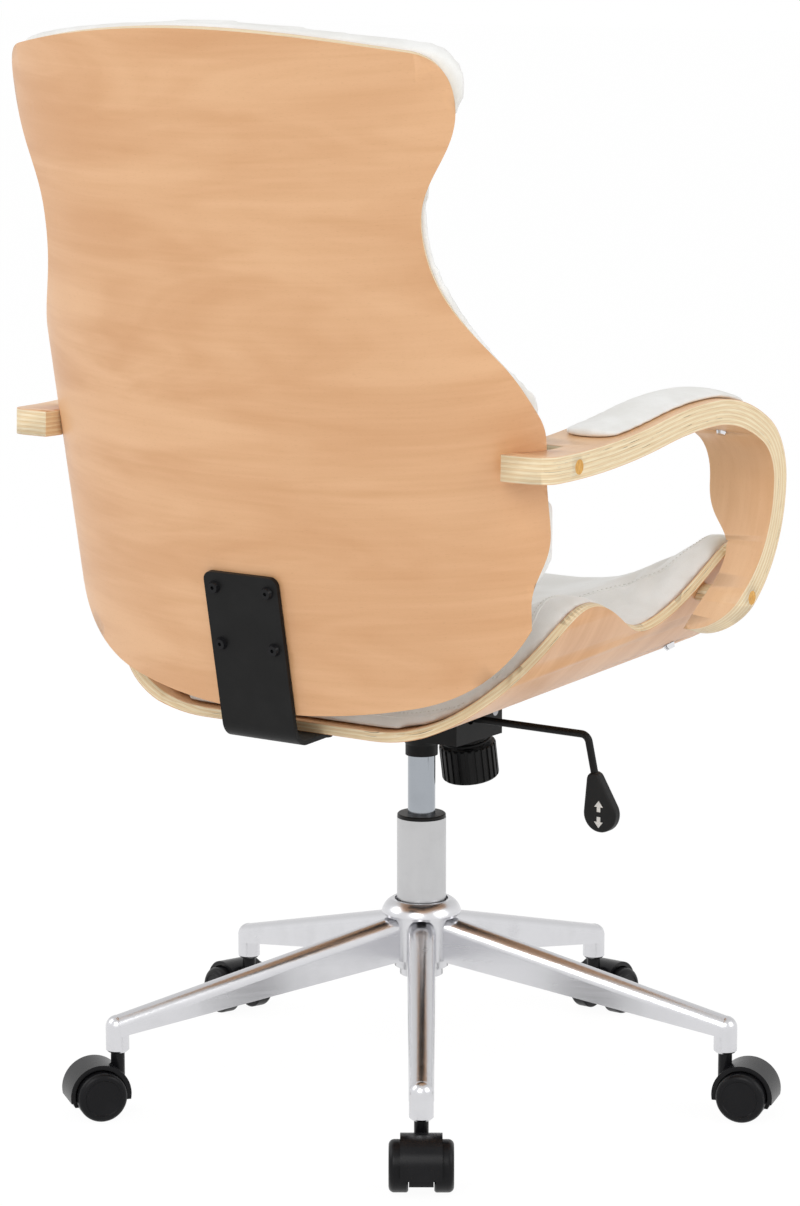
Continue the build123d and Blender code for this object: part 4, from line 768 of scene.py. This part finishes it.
def seat_rest(points):
    """Points of the seat cushion that lie on the ply."""
    level = seat_level(points)
    side = np.abs(level[:, 0])
    reach = np.hypot(np.maximum(side - SEAT_FLAT, 0), level[:, 2] - PLY_BOTTOM - SEAT_RADIUS)
    depth = np.where(side < SEAT_FLAT, level[:, 2] - PLY_BOTTOM, SEAT_RADIUS - reach)
    upright = (side - SEAT_FLAT > 0) & (level[:, 2] > PLY_BOTTOM + SEAT_RADIUS * SEAT_UPRIGHT)
    depth = np.where(upright, SEAT_FLAT + SEAT_RADIUS - side, depth)
    return depth < PLY + SEAT_HOLD


def back_rest(points):
    """How near the points of the back cushion are to the shell, 1 where they lie on it."""
    across, back, _ = back_local(points)
    inside = ellipse_share(across, back, INNER_HALF, INNER_DEPTH)
    return np.clip((inside - BACK_HOLD_FROM) / BACK_HOLD_BLEND, 0, 1)


def pad_rest(points):
    """Points of an arm pad that lie on the arm."""
    return arm_grain(points)[:, 2] < ARM_THICKNESS + PAD_HOLD


seat_soft = padded_copy("seat_cushion", "seat_cushion_soft", SEAT_VOXEL, seat_rest, SEAT_CAP)
back_soft = padded_copy("back_cushion", "back_cushion_soft", BACK_VOXEL, back_rest, BACK_CAP)
# The cushion's edge is fuller at the bulge, above and below the arms
across, back, along = back_local(points_of(back_soft))
outwards = np.clip((np.abs(across) - FULL_FROM) / FULL_BLEND, 0, 1)
in_zone = np.clip(np.minimum(along - bulge_low, bulge_high - along) / FULL_BLEND, 0, 1)
off_arm = np.clip((np.abs(along - FULL_ARM) - FULL_ARM_HALF) / FULL_ARM_HALF, 0, 1)
back = back - FULL_EDGE * outwards * in_zone * off_arm
set_points(back_soft, back_world(across, back, along))
for side_name in ("right", "left"):
    pad_soft = padded_copy(f"pad_{side_name}", f"pad_{side_name}_soft", PAD_VOXEL, pad_rest, PAD_CAP)


# Seams and stitches on the cushions
def smoothed(line):
    """A line of points with small steps evened out, its ends kept."""
    for _ in range(LINE_ROUNDS):
        line[1:-1] = (line[:-2] + 2 * line[1:-1] + line[2:]) / 4
    return line


def laid_on(thing, guides, spacing):
    """Evenly spaced points, and their normals, where a line of guide points meets a cushion."""
    tree = BVHTree.FromObject(thing, bpy.context.evaluated_depsgraph_get())
    hits = [tree.find_nearest(Vector(guide)) for guide in guides]
    places = np.array([hit[0] for hit in hits])
    normals = np.array([hit[1] for hit in hits])
    run = np.concatenate([[0.0], np.cumsum(np.linalg.norm(np.diff(places, axis=0), axis=1))])
    steps = np.arange(0.0, run[-1], spacing)
    spread = [np.interp(steps, run, places[:, axis]) for axis in range(3)]
    tree_hits = [tree.find_nearest(Vector(place)) for place in np.stack(spread, 1)]
    facing = np.stack([np.interp(steps, run, normals[:, axis]) for axis in range(3)], 1)
    facing /= np.linalg.norm(facing, axis=1, keepdims=True)
    return np.array([hit[0] for hit in tree_hits]), facing


def tube_rings(build, centres, headings, facing, radii, sides):
    """Closed run of rings round the given centres."""
    rings = []
    for centre, heading, up, radius in zip(centres, headings, facing, radii):
        across = np.cross(heading, up)
        ring = []
        for index in range(sides):
            turn = 2 * math.pi * index / sides
            offset = across * math.cos(turn) + up * math.sin(turn)
            ring.append(build.verts.new(centre + radius * offset))
        rings.append(ring)
    for first, second in zip(rings[:-1], rings[1:]):
        for index in range(sides):
            after = (index + 1) % sides
            build.faces.new((first[index], first[after], second[after], second[index]))
    build.faces.new(rings[0][::-1])
    build.faces.new(rings[-1])


def sewn_piece(name, build, material):
    """Object from finished rings, riding on the seat."""
    mesh = bpy.data.meshes.new(name)
    bmesh.ops.recalc_face_normals(build, faces=build.faces)
    build.to_mesh(mesh)
    build.free()
    mesh.shade_smooth()
    mesh.materials.append(material)
    thing = bpy.data.objects.new(name, mesh)
    scene.collection.objects.link(thing)
    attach(thing, "seat")


def stitch_row(name, thing, guides):
    """Row of short thread stitches, each dipping into the cover at its ends."""
    places, facing = laid_on(thing, guides, STITCH_STEP)
    build = bmesh.new()
    for index in range(len(places) - 1):
        reach = (places[index + 1] - places[index]) * STITCH_SHARE
        heading = reach / max(np.linalg.norm(reach), SMALLEST)
        up = facing[index]
        lifts = STITCH_RADIUS * np.array(STITCH_LIFTS)
        centres = [places[index] + reach * share + up * lift for share, lift in zip(STITCH_PLACES, lifts)]
        radii = STITCH_RADIUS * np.array(STITCH_WIDTHS)
        count = len(centres)
        tube_rings(build, centres, [heading] * count, [up] * count, radii, STITCH_SIDES)
    sewn_piece(name, build, thread)


def seam_bead(name, thing, guides):
    """Fine raised bead where two panels of the cover meet."""
    places, facing = laid_on(thing, guides, SEAM_STEP)
    headings = np.gradient(places, axis=0)
    headings /= np.maximum(np.linalg.norm(headings, axis=1, keepdims=True), SMALLEST)
    build = bmesh.new()
    sunk = places - facing * SEAM_RADIUS * SEAM_SINK
    tube_rings(build, sunk, headings, facing, [SEAM_RADIUS] * len(places), SEAM_SIDES)
    sewn_piece(name, build, white_leather)


# Name, inset from the cushion's edge and maker of each sewn line
SEAT_LINES = (("seam", 0.010, seam_bead), ("stitches", 0.014, stitch_row))
REAR_LINES = (("seam", 0.012, seam_bead), ("stitches", 0.016, stitch_row))
BACK_LINES = (("seam", 0.016, seam_bead), ("stitches", 0.020, stitch_row))

seat_points = seat_level(points_of(seat_soft))
seat_back_y = seat_points[:, 1].max()
seat_front_y = seat_points[:, 1].min()
seat_steps = np.arange(seat_front_y + SEAT_LINE_FRONT, seat_back_y - SEAT_LINE_REAR, SEAT_LINE_STEP)
rear_steps = np.linspace(-REAR_LINE_HALF, REAR_LINE_HALF, REAR_LINE_COUNT)
for side_name, sign in (("right", -1), ("left", 1)):
    rim = []
    for step in seat_steps:
        in_slice = np.abs(seat_points[:, 1] - step) < SEAT_LINE_SLICE
        near = seat_points[in_slice & (seat_points[:, 0] * sign > LINE_SIDE)]
        top = near[np.argmax(near[:, 2])]
        rim.append((top[0], step, top[2]))
    rim = smoothed(np.array(rim))
    for row, inset, maker in SEAT_LINES:
        guide = rim + np.array([-sign * inset, 0.0, SEAT_LINE_DROP * inset])
        maker(f"seat_{row}_{side_name}", seat_soft, seat_world(guide))
for row, inset, maker in REAR_LINES:
    rear_y = np.full(REAR_LINE_COUNT, seat_back_y - inset * REAR_LINE_SHARE)
    rear_z = np.full(REAR_LINE_COUNT, PLY_BOTTOM + PLY + inset)
    guide = np.stack([rear_steps, rear_y, rear_z], 1)
    guide[:, 2] += np.maximum(np.abs(rear_steps) - SEAT_FLAT, 0) ** 2 / (2 * SEAT_RADIUS)
    maker(f"seat_{row}_rear", seat_soft, seat_world(guide))

back_across, back_deep, back_along = back_local(points_of(back_soft))
back_steps = np.arange(back_along.min() + BACK_LINE_LOW, back_along.max() - BACK_LINE_HIGH, BACK_LINE_STEP)
for side_name, sign in (("right", -1), ("left", 1)):
    rim = []
    for step in back_steps:
        near = (np.abs(back_along - step) < BACK_LINE_SLICE) & (back_across * sign > LINE_SIDE)
        widest = np.argmax(np.where(near, back_across * sign, -1.0))
        rim.append((back_across[widest], back_deep[widest], step))
    rim = smoothed(np.array(rim))
    for row, inset, maker in BACK_LINES:
        guide = back_world(rim[:, 0] - sign * inset, rim[:, 1] - BACK_LINE_FORWARD, rim[:, 2])
        maker(f"back_{row}_{side_name}", back_soft, guide)

# Plain white arrows on the lever's paddle
ARROW_HALF = 0.0050
ARROW_TIP = 0.0062
ARROW_SHAFT = 0.0020
ARROW_TAIL = 0.0050
ARROW_RAISE = 0.0003
ARROW_OFFSET = 0.0075
PADDLE_RADIUS = 0.0185
paddle_low, paddle_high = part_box("lever_paddle")
arrow_x = paddle_low.x + PADDLE_RADIUS
arrow_y = paddle_high.y + ARROW_RAISE / 3
for name, sense in (("arrow_up", 1), ("arrow_down", -1)):
    outline = [
        (-ARROW_HALF, 0.0),
        (0.0, ARROW_TIP),
        (ARROW_HALF, 0.0),
        (ARROW_SHAFT, 0.0),
        (ARROW_SHAFT, -ARROW_TAIL),
        (-ARROW_SHAFT, -ARROW_TAIL),
        (-ARROW_SHAFT, 0.0),
    ]
    arrow_z = paddle_low.z + PADDLE_RADIUS + sense * ARROW_OFFSET
    mesh = bpy.data.meshes.new(name)
    build = bmesh.new()
    corners = [build.verts.new((arrow_x + across, arrow_y, arrow_z + sense * up)) for across, up in outline]
    raised = bmesh.ops.extrude_face_region(build, geom=[build.faces.new(corners)])["geom"]
    lifted = [part for part in raised if isinstance(part, bmesh.types.BMVert)]
    bmesh.ops.translate(build, verts=lifted, vec=(0, ARROW_RAISE, 0))
    bmesh.ops.recalc_face_normals(build, faces=build.faces)
    build.to_mesh(mesh)
    build.free()
    mark = bpy.data.objects.new(name, mesh)
    scene.collection.objects.link(mark)
    mesh.materials.append(white_mark)
    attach(mark, "lever")

# Floor, light and camera
FLOOR_REACH = 30
FLOOR_GREY = 0.92
# Share of the floor that glows where it is looked at, which leaves the shadow, and its strength
FLOOR_WHITE = 0.93
FLOOR_GLOW = 1.03
WORLD_LIGHT = 0.55
# The fitted camera: focal length and image height in the photo's pixels, place, heading and pitch
SENSOR = 36.0
FOCAL_PIXELS = 3900
IMAGE_HEIGHT = 1206
CAMERA_PLACE = (-2.1832, 3.1906, 1.1952)
CAMERA_HEADING = (0.5694, -0.8221)
CAMERA_PITCH = math.radians(10.16)


def looked_at(tree):
    """Socket that is 1 for rays from the camera, a reflection or glass."""
    path = tree.nodes.new("ShaderNodeLightPath")
    seen = path.outputs["Is Camera Ray"]
    for name in ("Is Glossy Ray", "Is Transmission Ray"):
        either = tree.nodes.new("ShaderNodeMath")
        either.operation = "MAXIMUM"
        tree.links.new(seen, either.inputs[0])
        tree.links.new(path.outputs[name], either.inputs[1])
        seen = either.outputs[0]
    return seen


floor_mesh = bpy.data.meshes.new("floor")
floor_corners = [(FLOOR_REACH * x, FLOOR_REACH * y, 0) for x, y in ((-1, -1), (1, -1), (1, 1), (-1, 1))]
floor_mesh.from_pydata(floor_corners, [], [(0, 1, 2, 3)])
floor = bpy.data.objects.new("floor", floor_mesh)
scene.collection.objects.link(floor)
floor_shader = Shader("floor", rough=0.9)
floor_shader.shader.inputs["Base Color"].default_value = (FLOOR_GREY, FLOOR_GREY, FLOOR_GREY, 1.0)
glow = floor_shader.add("Emission", Color=(1.0, 1.0, 1.0, 1.0), Strength=FLOOR_GLOW)
blend = floor_shader.add("MixShader")
floor_shader.feed(blend.inputs[0], floor_shader.times(looked_at(floor_shader.tree), FLOOR_WHITE))
floor_shader.feed(blend.inputs[1], floor_shader.shader.outputs["BSDF"])
floor_shader.feed(blend.inputs[2], glow.outputs["Emission"])
output = floor_shader.tree.nodes["Material Output"]
floor_shader.feed(output.inputs["Surface"], blend.outputs["Shader"])
floor_mesh.materials.append(floor_shader.material)

world = bpy.data.worlds.new("studio")
scene.world = world
world.use_nodes = True
tree = world.node_tree
background = tree.nodes["Background"]
background.inputs["Color"].default_value = (1.0, 1.0, 1.0, 1.0)
strength = tree.nodes.new("ShaderNodeMapRange")
strength.inputs["To Min"].default_value = WORLD_LIGHT
strength.inputs["To Max"].default_value = 1.0
tree.links.new(looked_at(tree), strength.inputs["Value"])
tree.links.new(strength.outputs["Result"], background.inputs["Strength"])


def lamp(name, place, target, size, power):
    """Large soft studio light."""
    light = bpy.data.lights.new(name, "AREA")
    light.shape = "RECTANGLE"
    light.size = size
    light.size_y = size
    light.energy = power
    thing = bpy.data.objects.new(name, light)
    scene.collection.objects.link(thing)
    thing.location = place
    thing.rotation_mode = "QUATERNION"
    thing.rotation_quaternion = (Vector(target) - Vector(place)).to_track_quat("-Z", "Y")


lamp("key", place=(-1.2, 3.6, 3.0), target=(0, 0.1, 0.6), size=2.2, power=62)
lamp("fill", place=(-3.2, -0.6, 2.2), target=(0, 0, 0.6), size=2.0, power=34)
lamp("far", place=(2.6, 1.4, 2.4), target=(0, 0, 0.6), size=1.8, power=26)

camera_data = bpy.data.cameras.new("camera")
camera_data.sensor_fit = "AUTO"
camera_data.sensor_width = SENSOR
camera_data.lens = SENSOR * FOCAL_PIXELS / IMAGE_HEIGHT
camera = bpy.data.objects.new("camera", camera_data)
scene.collection.objects.link(camera)
camera.location = CAMERA_PLACE
level_share = math.cos(CAMERA_PITCH)
look = Vector((CAMERA_HEADING[0] * level_share, CAMERA_HEADING[1] * level_share, -math.sin(CAMERA_PITCH)))
camera.rotation_mode = "QUATERNION"
camera.rotation_quaternion = look.to_track_quat("-Z", "Y")
scene.camera = camera
scene.view_settings.view_transform = "Standard"
